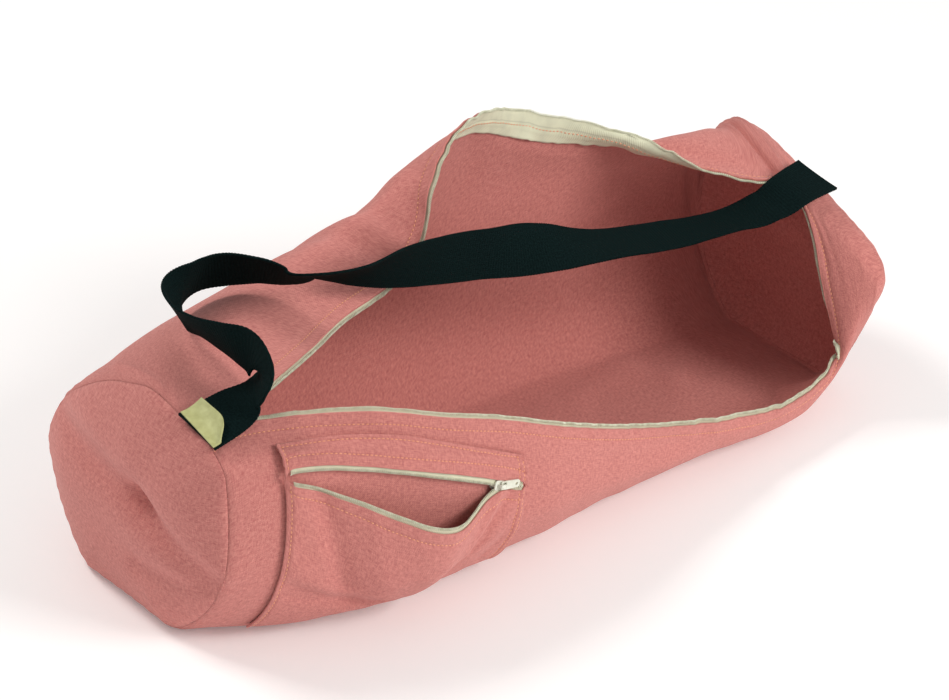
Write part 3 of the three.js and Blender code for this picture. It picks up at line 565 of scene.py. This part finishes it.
thread_paint, tree, shader = material_of("peach_thread")
spots = add_node(tree, "TexCoord").outputs["Object"]
twist = add_node(
    tree, "TexNoise", [("Vector", spots), ("Scale", 900.0), ("Detail", 1.0)]
)
ramp = add_node(tree, "ValToRGB", [("Fac", twist.outputs["Fac"])])
ramp.color_ramp.elements[0].color = (0.72, 0.24, 0.12, 1)
ramp.color_ramp.elements[1].color = (0.95, 0.50, 0.30, 1)
tree.links.new(ramp.outputs["Color"], shader.inputs["Base Color"])
shader.inputs["Roughness"].default_value = 0.6
shader.inputs["Sheen Weight"].default_value = 0.2
STITCH = 0.0024
STITCH_PITCH = 0.0033
THREAD = 0.0005  # radius


def stitch_row(name, path, normals, paint=thread_paint):
    """Row of short stitches along a path, each a small spindle lying on the cloth."""
    gone = run_length(path)
    count = int(gone[-1] / STITCH_PITCH)
    middles = (np.arange(count) + 0.5) * STITCH_PITCH
    bm = bmesh.new()
    for middle in middles:
        ends = [
            Vector([np.interp(middle + d, gone, path[:, k]) for k in range(3)])
            for d in (-STITCH / 2, STITCH / 2)
        ]
        normal = Vector([np.interp(middle, gone, normals[:, k]) for k in range(3)])
        along = (ends[1] - ends[0]).normalized()
        side = normal.cross(along).normalized()
        normal = along.cross(side)
        turn = Matrix((along * STITCH / 2, side * THREAD, normal * THREAD * 0.8)).transposed()
        bmesh.ops.create_icosphere(
            bm, subdivisions=1, radius=1,
            matrix=Matrix.Translation((ends[0] + ends[1]) / 2) @ turn.to_4x4(),
        )
    for face in bm.faces:
        face.smooth = True
    mesh = bpy.data.meshes.new(name)
    bm.to_mesh(mesh)
    bm.free()
    piece = place_object(name, mesh, paint)
    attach(piece, "bag")
    return piece


for side in ("front", "back"):
    stitch_row(
        f"{side}_hem_stitches", edge_points(side, HEM_DEPTH, -0.0001), edge_normals[side]
    )

# Zip of the mouth, undone from end to end: a cream woven tape sewn behind each edge, with a
# nylon coil along its outer side. The tapes' inner sides are loose and wavy.
TAPE_WIDTH = 0.018
TAPE = 0.0006
TAPE_DEPTH = 0.0023  # of its near face behind the wall's outer face
COIL_REACH = 0.0029  # from the edge out to the middle of the coil
COIL_WIDTH = 0.0028
COIL_HEIGHT = 0.0021
COIL_PITCH = 0.0015
COIL_WIRE = 0.00042  # radius


def tape_material(name, colour, line):
    """Fine woven tape: slanting ribs, and a darker line by the coil, partly its denser weave and partly painted
    shade of the groove there.
    """
    made, tree, shader = material_of(name)
    cloth = add_node(tree, "UVMap", uv_map="cloth").outputs["UV"]
    turned = add_node(
        tree, "Mapping", [("Vector", cloth), ("Rotation", (0, 0, math.radians(52)))]
    )
    ribs = add_node(
        tree, "TexWave", [("Vector", turned.outputs[0]), ("Scale", 0.314 / 0.0011)],
        wave_type="BANDS", bands_direction="X", wave_profile="SIN",
    )
    grime = add_node(
        tree, "TexNoise", [("Vector", cloth), ("Scale", 90.0), ("Detail", 4.0)]
    )
    ramp = add_node(tree, "ValToRGB", [("Fac", grime.outputs["Fac"])])
    ramp.color_ramp.elements[0].position = 0.3
    ramp.color_ramp.elements[0].color = tuple(0.86 * c for c in colour) + (1,)
    ramp.color_ramp.elements[1].position = 0.6
    ramp.color_ramp.elements[1].color = (*colour, 1)
    # The darker line by the coil: partly the tape's denser weave, partly painted shade of the groove along it.
    across = add_node(tree, "SeparateXYZ", [("Vector", cloth)])
    near_line = add_node(
        tree, "MapRange",
        [("Value", across.outputs["Y"]), (1, line - 0.0009), (2, line), (3, 0.0), (4, 1.0)],
        interpolation_type="SMOOTHSTEP",
    )
    past_line = add_node(
        tree, "MapRange",
        [("Value", across.outputs["Y"]), (1, line), (2, line + 0.0009), (3, 1.0), (4, 0.0)],
        interpolation_type="SMOOTHSTEP",
    )
    band = add_node(
        tree, "Math", [(0, near_line.outputs[0]), (1, past_line.outputs[0])],
        operation="MULTIPLY",
    )
    weave_line_and_groove_shade = add_node(tree, "Math", [(0, band.outputs[0]), (1, 0.45)], operation="MULTIPLY")
    mix = add_node(
        tree, "Mix",
        [("Factor", weave_line_and_groove_shade.outputs[0]), (6, ramp.outputs["Color"]),
         (7, tuple(0.55 * c for c in colour) + (1,))],
        data_type="RGBA",
    )
    tree.links.new(mix.outputs[2], shader.inputs["Base Color"])
    bump = add_node(
        tree, "Bump", [("Height", ribs.outputs["Fac"]), ("Strength", 0.5), ("Distance", 0.0003)]
    )
    tree.links.new(bump.outputs["Normal"], shader.inputs["Normal"])
    shader.inputs["Roughness"].default_value = 0.75
    shader.inputs["Sheen Weight"].default_value = 0.15
    return made


CREAM = (0.74, 0.74, 0.54)
cream_tape = tape_material("cream_tape", CREAM, 0.0055)
cream_nylon, tree, shader = material_of("cream_nylon")
spots = add_node(tree, "TexCoord").outputs["Object"]
rub = add_node(tree, "TexNoise", [("Vector", spots), ("Scale", 260.0), ("Detail", 3.0)])
ramp = add_node(tree, "ValToRGB", [("Fac", rub.outputs["Fac"])])
ramp.color_ramp.elements[0].position = 0.35
ramp.color_ramp.elements[0].color = (0.62, 0.63, 0.46, 1)
ramp.color_ramp.elements[1].position = 0.65
ramp.color_ramp.elements[1].color = (0.80, 0.81, 0.64, 1)
tree.links.new(ramp.outputs["Color"], shader.inputs["Base Color"])
roughness = add_node(
    tree, "MapRange", [("Value", rub.outputs["Fac"]), (1, 0.3), (2, 0.7), (3, 0.34), (4, 0.52)]
)
tree.links.new(roughness.outputs[0], shader.inputs["Roughness"])


def coil_along(name, path, out, normal, node):
    """Nylon coil: a flattened spiral of wire round a path."""
    gone = run_length(path)
    spots = np.arange(0, gone[-1], COIL_PITCH / 8)
    middle, side, rise = (
        np.stack([np.interp(spots, gone, v[:, k]) for k in range(3)], axis=-1)
        for v in (path, out, normal)
    )
    turn = (spots / COIL_PITCH * 2 * math.pi)[:, None]
    wire = (
        middle + side * (COIL_WIDTH / 2 - COIL_WIRE) * np.cos(turn)
        + rise * (COIL_HEIGHT / 2 - COIL_WIRE) * np.sin(turn)
    )
    curve = bpy.data.curves.new(name, "CURVE")
    curve.dimensions = "3D"
    spline = curve.splines.new("POLY")
    spline.points.add(len(wire) - 1)
    spline.points.foreach_set("co", np.column_stack([wire, np.ones(len(wire))]).ravel())
    curve.bevel_depth = COIL_WIRE
    curve.bevel_resolution = 0
    curve.use_fill_caps = True
    holder = bpy.data.objects.new(name, curve)
    mesh = bpy.data.meshes.new_from_object(holder)
    mesh.name = name
    bpy.data.objects.remove(holder)
    bpy.data.curves.remove(curve)
    mesh.shade_smooth()
    piece = place_object(name, mesh, cream_nylon)
    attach(piece, "bag")
    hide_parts(node)
    return piece


tape_reaches = np.linspace(-COIL_REACH, TAPE_WIDTH - 0.0006, 16)
for side in ("front", "back"):
    spots = run_length(edge_points(side, 0, 0))
    flutter = np.maximum(rippled(spots, spots * 0, 0.016, 11.5) + 0.15, 0)
    frill = rippled(spots, spots * 0, 0.006, 12.5)
    layers = []
    for reach in tape_reaches:
        share = max(reach, 0) / TAPE_WIDTH
        layers.append(edge_points(
            side, reach + 0.0009 * frill * share**4, TAPE_DEPTH + 0.0048 * flutter * share**3
        ))
    points = np.stack(layers, axis=1)
    flat = np.stack(np.broadcast_arrays(spots[:, None], tape_reaches[None]), axis=-1)
    if side == "back":
        points, flat = points[:, ::-1], flat[:, ::-1]
    tape = place_object(
        f"{side}_tape", cloth_mesh(f"{side}_tape", points, flat), cream_tape
    )
    thicken(tape, TAPE, -1)
    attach(tape, "bag")
    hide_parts(f"{side}_zip_tape")
    stitches = stitch_row(
        f"{side}_tape_stitches", edge_points(side, HEM_DEPTH, TAPE_DEPTH + TAPE + 0.0002),
        -edge_normals[side],
    )
    coil_along(
        f"{side}_coil", edge_points(side, -COIL_REACH, TAPE_DEPTH + TAPE / 2),
        edge_frame(side), edge_normals[side], f"{side}_zip_coil",
    )

# Slider of the mouth's zip, run to the far end: a small die casting with cream enamel.
enamel, tree, shader = material_of("cream_enamel")
spots = add_node(tree, "TexCoord").outputs["Object"]
wear = add_node(tree, "TexNoise", [("Vector", spots), ("Scale", 180.0), ("Detail", 4.0)])
ramp = add_node(tree, "ValToRGB", [("Fac", wear.outputs["Fac"])])
ramp.color_ramp.elements[0].position = 0.3
ramp.color_ramp.elements[0].color = (0.66, 0.67, 0.55, 1)
ramp.color_ramp.elements[1].position = 0.6
ramp.color_ramp.elements[1].color = (0.80, 0.81, 0.70, 1)
tree.links.new(ramp.outputs["Color"], shader.inputs["Base Color"])
roughness = add_node(
    tree, "MapRange", [("Value", wear.outputs["Fac"]), (1, 0.3), (2, 0.7), (3, 0.28), (4, 0.46)]
)
tree.links.new(roughness.outputs[0], shader.inputs["Roughness"])
bump = add_node(
    tree, "Bump", [("Height", wear.outputs["Fac"]), ("Strength", 0.15), ("Distance", 0.0002)]
)
tree.links.new(bump.outputs["Normal"], shader.inputs["Normal"])


def cast_piece(name, node, bevel):
    """Copy of a CAD piece with the rounded edges of a casting."""
    bm = bmesh.new()
    bm.from_mesh(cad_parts[node].data)
    bm.transform(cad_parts[node].matrix_world)
    bmesh.ops.remove_doubles(bm, verts=bm.verts, dist=1e-6)
    bmesh.ops.recalc_face_normals(bm, faces=bm.faces)
    bmesh.ops.dissolve_limit(
        bm, angle_limit=math.radians(1), verts=bm.verts, edges=bm.edges
    )
    mesh = bpy.data.meshes.new(name)
    bm.to_mesh(mesh)
    bm.free()
    piece = place_object(name, mesh, enamel)
    rounding = piece.modifiers.new("cast_edges", "BEVEL")
    rounding.width = bevel
    rounding.segments = 3
    rounding.limit_method = "ANGLE"
    rounding.angle_limit = math.radians(35)
    rounding.harden_normals = True
    mesh.shade_smooth()
    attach(piece, "pull" if "pull" in node else "bag")
    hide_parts(node)
    return piece


cast_piece("mouth_slider", "main_zip_slider", 0.0004)

# Shoulder strap: one length of heavy near-black webbing, 38 mm wide, with ribs across it and
# looped edges. Both its ends are sewn into the end seams; it lies in a loose twisted loop.
STRAP_WIDTH = 0.038
STRAP = 0.0018
STRAP_RIB = 0.0023  # length of one rib of its weave
STRAP_ROUTE = np.array([  # along, out, up, then the direction that its width points in
    [-0.500, -0.322, 0.871, -0.04, 0.95, 0.29], [-0.455, -0.318, 0.902, 0.08, 0.96, 0.20],
    [-0.428, -0.33, 0.95, 0.5, 0.82, 0.02], [-0.422, -0.358, 1.015, 0.5, 0.8, -0.2],
    [-0.424, -0.34, 1.07, 0.15, 0.62, -0.75], [-0.424, -0.28, 1.095, 0.15, 0.15, -0.97],
    [-0.429, -0.19, 1.09, 0.4, 0, -0.9], [-0.431, -0.07, 1.075, 0.6, -0.1, -0.78],
    [-0.429, 0.05, 1.065, 0.6, -0.2, -0.78], [-0.421, 0.15, 1.055, 0.45, -0.2, -0.86],
    [-0.40, 0.23, 1.045, 0.5, 0.1, -0.8], [-0.376, 0.28, 1.05, 0.4, 0.35, -0.8],
    [-0.35, 0.295, 1.06, 0.25, 0.35, -0.88], [-0.325, 0.25, 1.075, 0.25, 0.38, -0.88],
    [-0.302, 0.175, 1.083, 0.3, 0.5, -0.8], [-0.277, 0.095, 1.07, 0.35, 0.65, -0.67],
    [-0.258, 0.02, 1.09, 0.55, 0.65, -0.52], [-0.216, -0.01, 1.07, 0, 0.75, -0.65],
    [-0.163, 0.01, 1.027, -0.2, 0.45, -0.88], [-0.103, 0.042, 0.974, -0.1, 0.16, -0.99],
    [-0.027, 0.068, 0.916, -0.05, -0.07, -1], [0.03, 0.068, 0.879, -0.1, -0.19, -0.98],
    [0.10, 0.06, 0.835, -0.05, -0.74, -0.67], [0.18, 0.02, 0.79, 0, -0.99, -0.14],
    [0.27, -0.035, 0.768, 0, -1, -0.03], [0.355, -0.09, 0.775, 0.1, -0.99, 0.14],
    [0.40, -0.15, 0.825, 0.15, -1, 0.08], [0.436, -0.165, 0.875, 0.2, -0.98, -0.1],
    [0.487, -0.132, 0.872, 0.16, -0.95, -0.26],
])
route = np.column_stack([np.arange(len(STRAP_ROUTE)), STRAP_ROUTE])
route = table_at(route, np.linspace(0, len(STRAP_ROUTE) - 1, 4000))[:, 1:]
middle = route[:, :3] * np.array([BAG_LENGTH, BAG_DIAMETER, BAG_DIAMETER])
gone = run_length(middle)
STRAP_LENGTH = gone[-1]
spots = np.linspace(0, STRAP_LENGTH, int(STRAP_LENGTH / (STRAP_RIB / 4)))
middle = np.stack([np.interp(spots, gone, middle[:, k]) for k in range(3)], axis=-1)
across = np.stack([np.interp(spots, gone, route[:, 3 + k]) for k in range(3)], axis=-1)
onward = unit(np.gradient(middle, axis=0))
across = unit(across - onward * np.sum(across * onward, axis=1, keepdims=True))
face = np.cross(onward, across)
shares = np.sin(np.linspace(-math.pi / 2, math.pi / 2, 17))
weave = np.sin(spots * 2 * math.pi / STRAP_RIB)[:, None]
loops = 1 + 0.011 * weave * np.abs(shares) ** 8
stray = 0.0005 * rippled(spots, spots * 0, 0.02, 21.5)[:, None]
lift = 0.00011 * weave * (1 - shares**8) + 0.0005 * (1 - shares**2) + stray * shares
points = (
    middle[:, None] + across[:, None] * (STRAP_WIDTH / 2 * shares * loops)[..., None]
    + face[:, None] * lift[..., None]
)
flat = np.stack(np.broadcast_arrays(spots[:, None], shares * STRAP_WIDTH / 2), axis=-1)

webbing, tree, shader = material_of("black_webbing")
cloth = add_node(tree, "UVMap", uv_map="cloth").outputs["UV"]
rows = add_node(
    tree, "TexWave", [("Vector", cloth), ("Scale", 0.314 / STRAP_RIB)],
    wave_type="BANDS", bands_direction="X", wave_profile="SIN",
)
columns = add_node(
    tree, "TexWave", [("Vector", cloth), ("Scale", 0.314 / 0.0016), ("Distortion", 0.6)],
    wave_type="BANDS", bands_direction="Y", wave_profile="SIN",
)
lint = add_node(tree, "TexNoise", [("Vector", cloth), ("Scale", 700.0), ("Detail", 3.0)])
weave_height = add_node(
    tree, "Math", [(0, rows.outputs["Fac"]), (1, columns.outputs["Fac"])], operation="MULTIPLY"
)
ramp = add_node(tree, "ValToRGB", [("Fac", lint.outputs["Fac"])])
ramp.color_ramp.elements[0].position = 0.35
ramp.color_ramp.elements[0].color = (0.0012, 0.0062, 0.0062, 1)
ramp.color_ramp.elements[1].position = 0.75
ramp.color_ramp.elements[1].color = (0.0040, 0.0140, 0.0140, 1)
tree.links.new(ramp.outputs["Color"], shader.inputs["Base Color"])
bump = add_node(
    tree, "Bump",
    [("Height", weave_height.outputs[0]), ("Strength", 0.6), ("Distance", 0.0004)],
)
tree.links.new(bump.outputs["Normal"], shader.inputs["Normal"])
shader.inputs["Roughness"].default_value = 0.85
shader.inputs["Specular IOR Level"].default_value = 0.06
strap = place_object("webbing_strap", cloth_mesh("webbing_strap", points, flat), webbing)
thicken(strap, STRAP, 0)
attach(strap, "bag")
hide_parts("shoulder_strap")

# Label: a folded tab of pale yellow satin tape, sewn over the strap's near end in the seam.
# Its free fold curls up off the strap; nothing is woven on it.
LABEL_LENGTH = 0.036
LABEL_REACH = 0.019
LABEL = 0.0008
LABEL_LIFT = math.radians(24)
LABEL_BASE = 0.0019  # over the middle of the strap
start = STRAP_ROUTE[0, :3] * np.array([BAG_LENGTH, BAG_DIAMETER, BAG_DIAMETER])
label_side = unit(STRAP_ROUTE[0, 3:])
reach = np.linspace(0, 1, 25)
width = np.linspace(-0.5, 0.5, 37)
curl = LABEL_LIFT * reach[:, None] * (1 - 0.5 * width[None, :])
curled = 0.75 * np.clip((-width[None, :] - 0.05) / 0.45, 0, 1) ** 2.2
bow = LABEL_REACH * (1 - 0.06 * np.clip(2 * width[None, :], 0, 1) ** 4 - curled * reach[:, None]) * reach[:, None]
points = start + np.stack([
    bow * np.cos(curl),
    0 * curl,
    LABEL_BASE + bow * np.sin(curl) + 0.0004 * np.sin(9 * width[None, :] + 2) * reach[:, None],
], axis=-1) + label_side * (width * LABEL_LENGTH)[None, :, None]
flat = np.stack(np.broadcast_arrays(reach[:, None] * LABEL_REACH, width * LABEL_LENGTH), axis=-1)
satin, tree, shader = material_of("yellow_satin")
cloth = add_node(tree, "UVMap", uv_map="cloth").outputs["UV"]
floats = add_node(
    tree, "TexWave", [("Vector", cloth), ("Scale", 0.314 / 0.0006), ("Distortion", 1.5)],
    wave_type="BANDS", bands_direction="Y", wave_profile="SIN",
)
tone = add_node(tree, "TexNoise", [("Vector", cloth), ("Scale", 160.0), ("Detail", 3.0)])
ramp = add_node(tree, "ValToRGB", [("Fac", tone.outputs["Fac"])])
ramp.color_ramp.elements[0].position = 0.3
ramp.color_ramp.elements[0].color = (0.42, 0.42, 0.17, 1)
ramp.color_ramp.elements[1].position = 0.7
ramp.color_ramp.elements[1].color = (0.56, 0.57, 0.26, 1)
tree.links.new(ramp.outputs["Color"], shader.inputs["Base Color"])
bump = add_node(
    tree, "Bump", [("Height", floats.outputs["Fac"]), ("Strength", 0.4), ("Distance", 0.0002)]
)
tree.links.new(bump.outputs["Normal"], shader.inputs["Normal"])
shader.inputs["Roughness"].default_value = 0.5
label = place_object("plain_label", cloth_mesh("plain_label", points, flat), satin)
thicken(label, LABEL, 0)
rounding = label.modifiers.new("folded_edge", "BEVEL")
rounding.width = 0.0003
rounding.segments = 2
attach(label, "bag")
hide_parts("side_label")

# Pocket: a patch of the same canvas sewn on below the mouth. A zip divides it into a narrow
# band above and a deep panel below, whose lip sags open in a soft bulge.
POCKET_LINES = np.array([  # across, top of the patch, closed line of the zip
    [0.0, 0.055, 0.12], [0.3, 0.045, 0.128], [0.55, 0.055, 0.14], [0.8, 0.08, 0.152],
    [1.0, 0.105, 0.166],
])
POCKET_LEFT = 0.065
POCKET_RIGHT = 0.374
POCKET_LEAN = 0.0095
POCKET_BOTTOM = 0.335
POCKET_SLIDER = 0.86
POCKET_SLACK = 0.022
POCKET_SAG = 0.021
POCKET_ARCH = 0.008
HALF_ZIP = 0.00425
SKIRT = 0.0011  # height of the patch over the wall along its sewn sides
LIP_HEIGHT = 0.00425
LIP_END = 0.022
POCKET_WIDTH = (POCKET_RIGHT - POCKET_LEFT) * BAG_LENGTH
POCKET_DEPTH = 0.112
POCKET_FOLDS = [  # across, down, to across, to down, half width, height; metres
    (0.12, 0.02, 0.25, 0.55, 0.0085, -0.0038), (0.30, 0.10, 0.42, 0.70, 0.013, 0.0028),
    (0.03, 0.58, 0.44, 0.80, 0.0075, -0.0034), (0.06, 0.46, 0.22, 0.62, 0.009, 0.0022),
    (0.60, 0.15, 0.55, 0.70, 0.014, 0.0024), (0.80, 0.40, 0.66, 0.88, 0.009, -0.0026),
    (0.92, 0.03, 0.80, 0.42, 0.006, -0.0024), (0.86, 0.03, 0.74, 0.40, 0.006, 0.0020),
    (0.96, 0.30, 0.88, 0.75, 0.006, -0.0014), (0.30, 0.86, 0.80, 0.92, 0.008, 0.0018),
]


def pocket_place(across, down):
    """Place along the bag; down is -1 at the patch's top, 0 at the zip and 1 at its bottom."""
    left = POCKET_LEFT - POCKET_LEAN * down
    return left * (1 - across) + POCKET_RIGHT * across


def openness(across, lean):
    """How open the zip is: 0 where it is closed, 1 at its widest."""
    share = np.clip(across / POCKET_SLIDER, 0, 1)
    return np.sin(math.pi * share**lean) * (across < POCKET_SLIDER)


def wall_scale(place, round_):
    """Metres along the cloth for one whole turn of the way round."""
    step = 0.004
    above, below = at_grid(wall, place, round_ - step), at_grid(wall, place, round_ + step)
    return np.linalg.norm(below - above, axis=-1) / (2 * step)


def pocket_line(across, column):
    return table_at(POCKET_LINES, np.ravel(across))[:, column].reshape(np.shape(across))


def lip_round(across, turn):
    """Where a lip's hem runs: turn is -1 for the upper lip and 1 for the lower."""
    zip_line = pocket_line(across, 2)
    scale = wall_scale(pocket_place(across, 0), zip_line)
    spread = (
        POCKET_SAG * openness(across, 1.5) if turn > 0 else POCKET_ARCH * openness(across, 0.7)
    )
    shut = 1 - np.exp(-((np.minimum(across, 1 - across) + 0.004) / 0.022) ** 2)
    return zip_line + turn * (HALF_ZIP * shut + spread) / scale


def pocket_relief(across, down):
    """Soft folds of the panel, none of them along its sewn sides."""
    s, t = across * POCKET_WIDTH, down * POCKET_DEPTH
    high = 0.0009 * rippled(s, t, 0.03, 31.5) + 0.0005 * rippled(s, t, 0.012, 33.5)
    for a0, d0, a1, d1, width, height in POCKET_FOLDS:
        start = np.array([a0 * POCKET_WIDTH, d0 * POCKET_DEPTH])
        run = np.array([a1 * POCKET_WIDTH, d1 * POCKET_DEPTH]) - start
        share = np.clip(((s - start[0]) * run[0] + (t - start[1]) * run[1]) / (run @ run), 0, 1)
        far = np.hypot(s - start[0] - share * run[0], t - start[1] - share * run[1])
        high = high + height * np.exp(-((far / width) ** 2))
    sewn = np.minimum(np.minimum(s, POCKET_WIDTH - s), POCKET_DEPTH - t)
    return high * (1 - np.exp(-np.maximum(sewn, 0) / 0.006))


def sewn_row(gap, row):
    """A hem with a row of stitches drawn down at a distance from its fold."""
    return (
        0.0002 - 0.0002 * np.tanh((gap - row) / 0.001)
        - 0.0007 * np.exp(-(((gap - row) / 0.0011) ** 2))
    )


SIDE_ROW = 0.0032  # from the patch's folded sides in to their stitches
SECOND_ROW = 0.0075
LIP_ROW = 0.0068


def side_rows(across):
    left, right = across * POCKET_WIDTH, (1 - across) * POCKET_WIDTH
    return sewn_row(left, SIDE_ROW) + sewn_row(right, SIDE_ROW) + sewn_row(right, SECOND_ROW)


def panel_at(across, gap, lift=0.0):
    """Outer face of the panel at a distance in from its lip's fold, in metres."""
    across, gap = np.broadcast_arrays(across, gap)
    lower = lip_round(across, 1)
    deep = (POCKET_BOTTOM - lower) * wall_scale(pocket_place(across, 0.5), 0.5 * (
        lower + POCKET_BOTTOM))
    down = gap / deep
    side = np.minimum(1, np.minimum(across, 1 - across) / LIP_END)
    slack = POCKET_SLACK * np.maximum(openness(across, 1.4), 0) ** 2.4
    lip = (LIP_HEIGHT - SKIRT) * side + slack
    rise = (
        SKIRT + lip * np.maximum(1 - down, 0) ** 0.9 + pocket_relief(across, down)
        + side_rows(across) + sewn_row(gap, LIP_ROW)
    )
    return over_wall(
        pocket_place(across, down), lower + (POCKET_BOTTOM - lower) * down,
        np.maximum(rise, SKIRT * 0.8) + CANVAS + lift,
    )


def band_at(across, gap, lift=0.0):
    """Outer face of the band at a distance up from its lip's fold, in metres."""
    across, gap = np.broadcast_arrays(across, gap)
    upper, top = lip_round(across, -1), pocket_line(across, 1)
    deep = (upper - top) * wall_scale(pocket_place(across, -0.5), 0.5 * (upper + top))
    share = gap / deep
    rise = (
        SKIRT + (LIP_HEIGHT - SKIRT) * np.minimum(1, 2 * (1 - share))
        + 0.0007 * rippled(across * POCKET_WIDTH, gap, 0.02, 35.5) * np.sin(math.pi * across)
        + side_rows(across) + sewn_row(gap, LIP_ROW) + sewn_row(deep - gap, SIDE_ROW)
    )
    return over_wall(
        pocket_place(across, -share), upper - (upper - top) * share, rise + CANVAS + lift
    )


def pocket_depths(piece_at):
    """Distances from lip to far side of the panel or band, at each across."""
    lower, upper, top = lip_round(across, 1), lip_round(across, -1), pocket_line(across, 1)
    if piece_at is panel_at:
        return (POCKET_BOTTOM - lower) * wall_scale(
            pocket_place(across, 0.5), 0.5 * (lower + POCKET_BOTTOM))
    return (upper - top) * wall_scale(pocket_place(across, -0.5), 0.5 * (upper + top))


across = steps((0, 12), (0.05, 108), (0.95, 14), (1, 0))
PANEL_STEPS = steps((0, 12), (0.09, 80), (0.96, 8), (1, 0))
BAND_STEPS = np.linspace(0, 1, 29)
pocket_pieces = {}
for name, piece_at, shares, node in (
    ("pocket_cloth", panel_at, PANEL_STEPS, "pocket_panel"),
    ("pocket_band_cloth", band_at, BAND_STEPS, "pocket_band"),
):
    gaps = pocket_depths(piece_at)[:, None] * shares
    points = piece_at(across[:, None], gaps)
    flat = np.stack([np.broadcast_to(across[:, None] * POCKET_WIDTH, gaps.shape), gaps], axis=-1)
    if piece_at is band_at:
        points, flat = points[:, ::-1], flat[:, ::-1] + (0, 0.3)
    piece = place_object(name, cloth_mesh(name, points, flat), canvas)
    thicken(piece, CANVAS, -1)
    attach(piece, "bag")
    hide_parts(node)
    pocket_pieces[node] = [piece]

# The pocket's hems, stitches and zip. Each lip is a soft fold of canvas with a narrow cream
# tape sewn behind it and a coil along the tape; rows of peach thread hold all of them.
POCKET_COIL = 0.0027  # from a lip's fold out to the middle of its coil
POCKET_TAPE_WIDTH = 0.0077
inner = across[(across > 0.012) & (across < 0.988)]
zip_run = np.linspace(0.03, 0.985, 150)
normals_along = at_grid(wall_normals, pocket_place(inner, 0), pocket_line(inner, 2))
for side, piece_at, node in (
    ("lower", panel_at, "pocket_panel"), ("upper", band_at, "pocket_band"),
):
    parts = pocket_pieces[node]
    centre = piece_at(across, 0.0002, -CANVAS / 2)
    out = unit(piece_at(across, 0.0, 0.0) - piece_at(across, 0.0012, 0.0))
    up_face = unit(at_grid(wall_normals, pocket_place(across, 0), pocket_line(across, 2)))
    if side == "upper":
        centre, out, up_face = centre[::-1], out[::-1], up_face[::-1]
    parts.append(roll_of_cloth(
        f"pocket_{side}_hem", centre, out, up_face, CANVAS * 0.62, canvas
    ))
    parts.append(stitch_row(
        f"pocket_{side}_lip_stitches", piece_at(inner, LIP_ROW, 0.0001), normals_along
    ))
    reaches = np.linspace(-POCKET_COIL, POCKET_TAPE_WIDTH, 9)
    points = piece_at(zip_run[:, None], reaches[None, :], -CANVAS - 0.0004)
    flat = np.stack(np.broadcast_arrays(
        zip_run[:, None] * POCKET_WIDTH, 0.0055 - 0.003 + reaches[None, :]), axis=-1)
    if side == "upper":
        points, flat = points[:, ::-1], flat[:, ::-1]
    tape = place_object(
        f"pocket_{side}_tape_cloth",
        cloth_mesh(f"pocket_{side}_tape_cloth", points, flat), cream_tape,
    )
    thicken(tape, TAPE, -1)
    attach(tape, "bag")
    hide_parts(f"pocket_{side}_tape")
    parts.append(tape)
    path = piece_at(zip_run, -POCKET_COIL, -CANVAS - 0.0004 - TAPE / 2)
    out = unit(piece_at(zip_run, -POCKET_COIL) - piece_at(zip_run, 0.0))
    rise = unit(at_grid(wall_normals, pocket_place(zip_run, 0), pocket_line(zip_run, 2)))
    parts.append(coil_along(
        f"pocket_{side}_zip_coil", path, out, rise, f"pocket_{side}_coil"
    ))

top_gap = pocket_depths(band_at)
top_path = band_at(across, top_gap - SIDE_ROW, 0.0001)[(across > 0.012) & (across < 0.988)]
pocket_pieces["pocket_band"].append(stitch_row(
    "pocket_top_stitches", top_path, normals_along
))
for name, gap_in in (
    ("left", SIDE_ROW), ("right", POCKET_WIDTH - SIDE_ROW), ("right_inner", POCKET_WIDTH - SECOND_ROW)
):
    spot = gap_in / POCKET_WIDTH
    i = int(np.argmin(np.abs(across - spot)))
    for node, piece_at, last in (
        ("pocket_panel", panel_at, pocket_depths(panel_at)[i] - 0.001),
        ("pocket_band", band_at, pocket_depths(band_at)[i] - SIDE_ROW),
    ):
        gaps = np.linspace(0.001, last, 60)
        path = piece_at(np.full(60, spot), gaps, 0.0001)
        down = gaps / pocket_depths(piece_at)[i]
        rounds = (
            pocket_line(spot, 2) + down * (POCKET_BOTTOM - pocket_line(spot, 2))
            if node == "pocket_panel"
            else pocket_line(spot, 2) - down * (pocket_line(spot, 2) - pocket_line(spot, 1))
        )
        normals = at_grid(wall_normals, pocket_place(spot, down), rounds)
        pocket_pieces[node].append(stitch_row(f"{node}_{name}_stitches", path, normals))

# Slider and pull of the pocket's zip: two small castings with cream enamel. The pull is a
# plain tab with an eye at its free end, and it turns on the slider's bail.
cast_piece("pocket_slider", "pocket_zip_slider", 0.0003)
cast_piece("pocket_pull", "pocket_zip_pull", 0.00025)
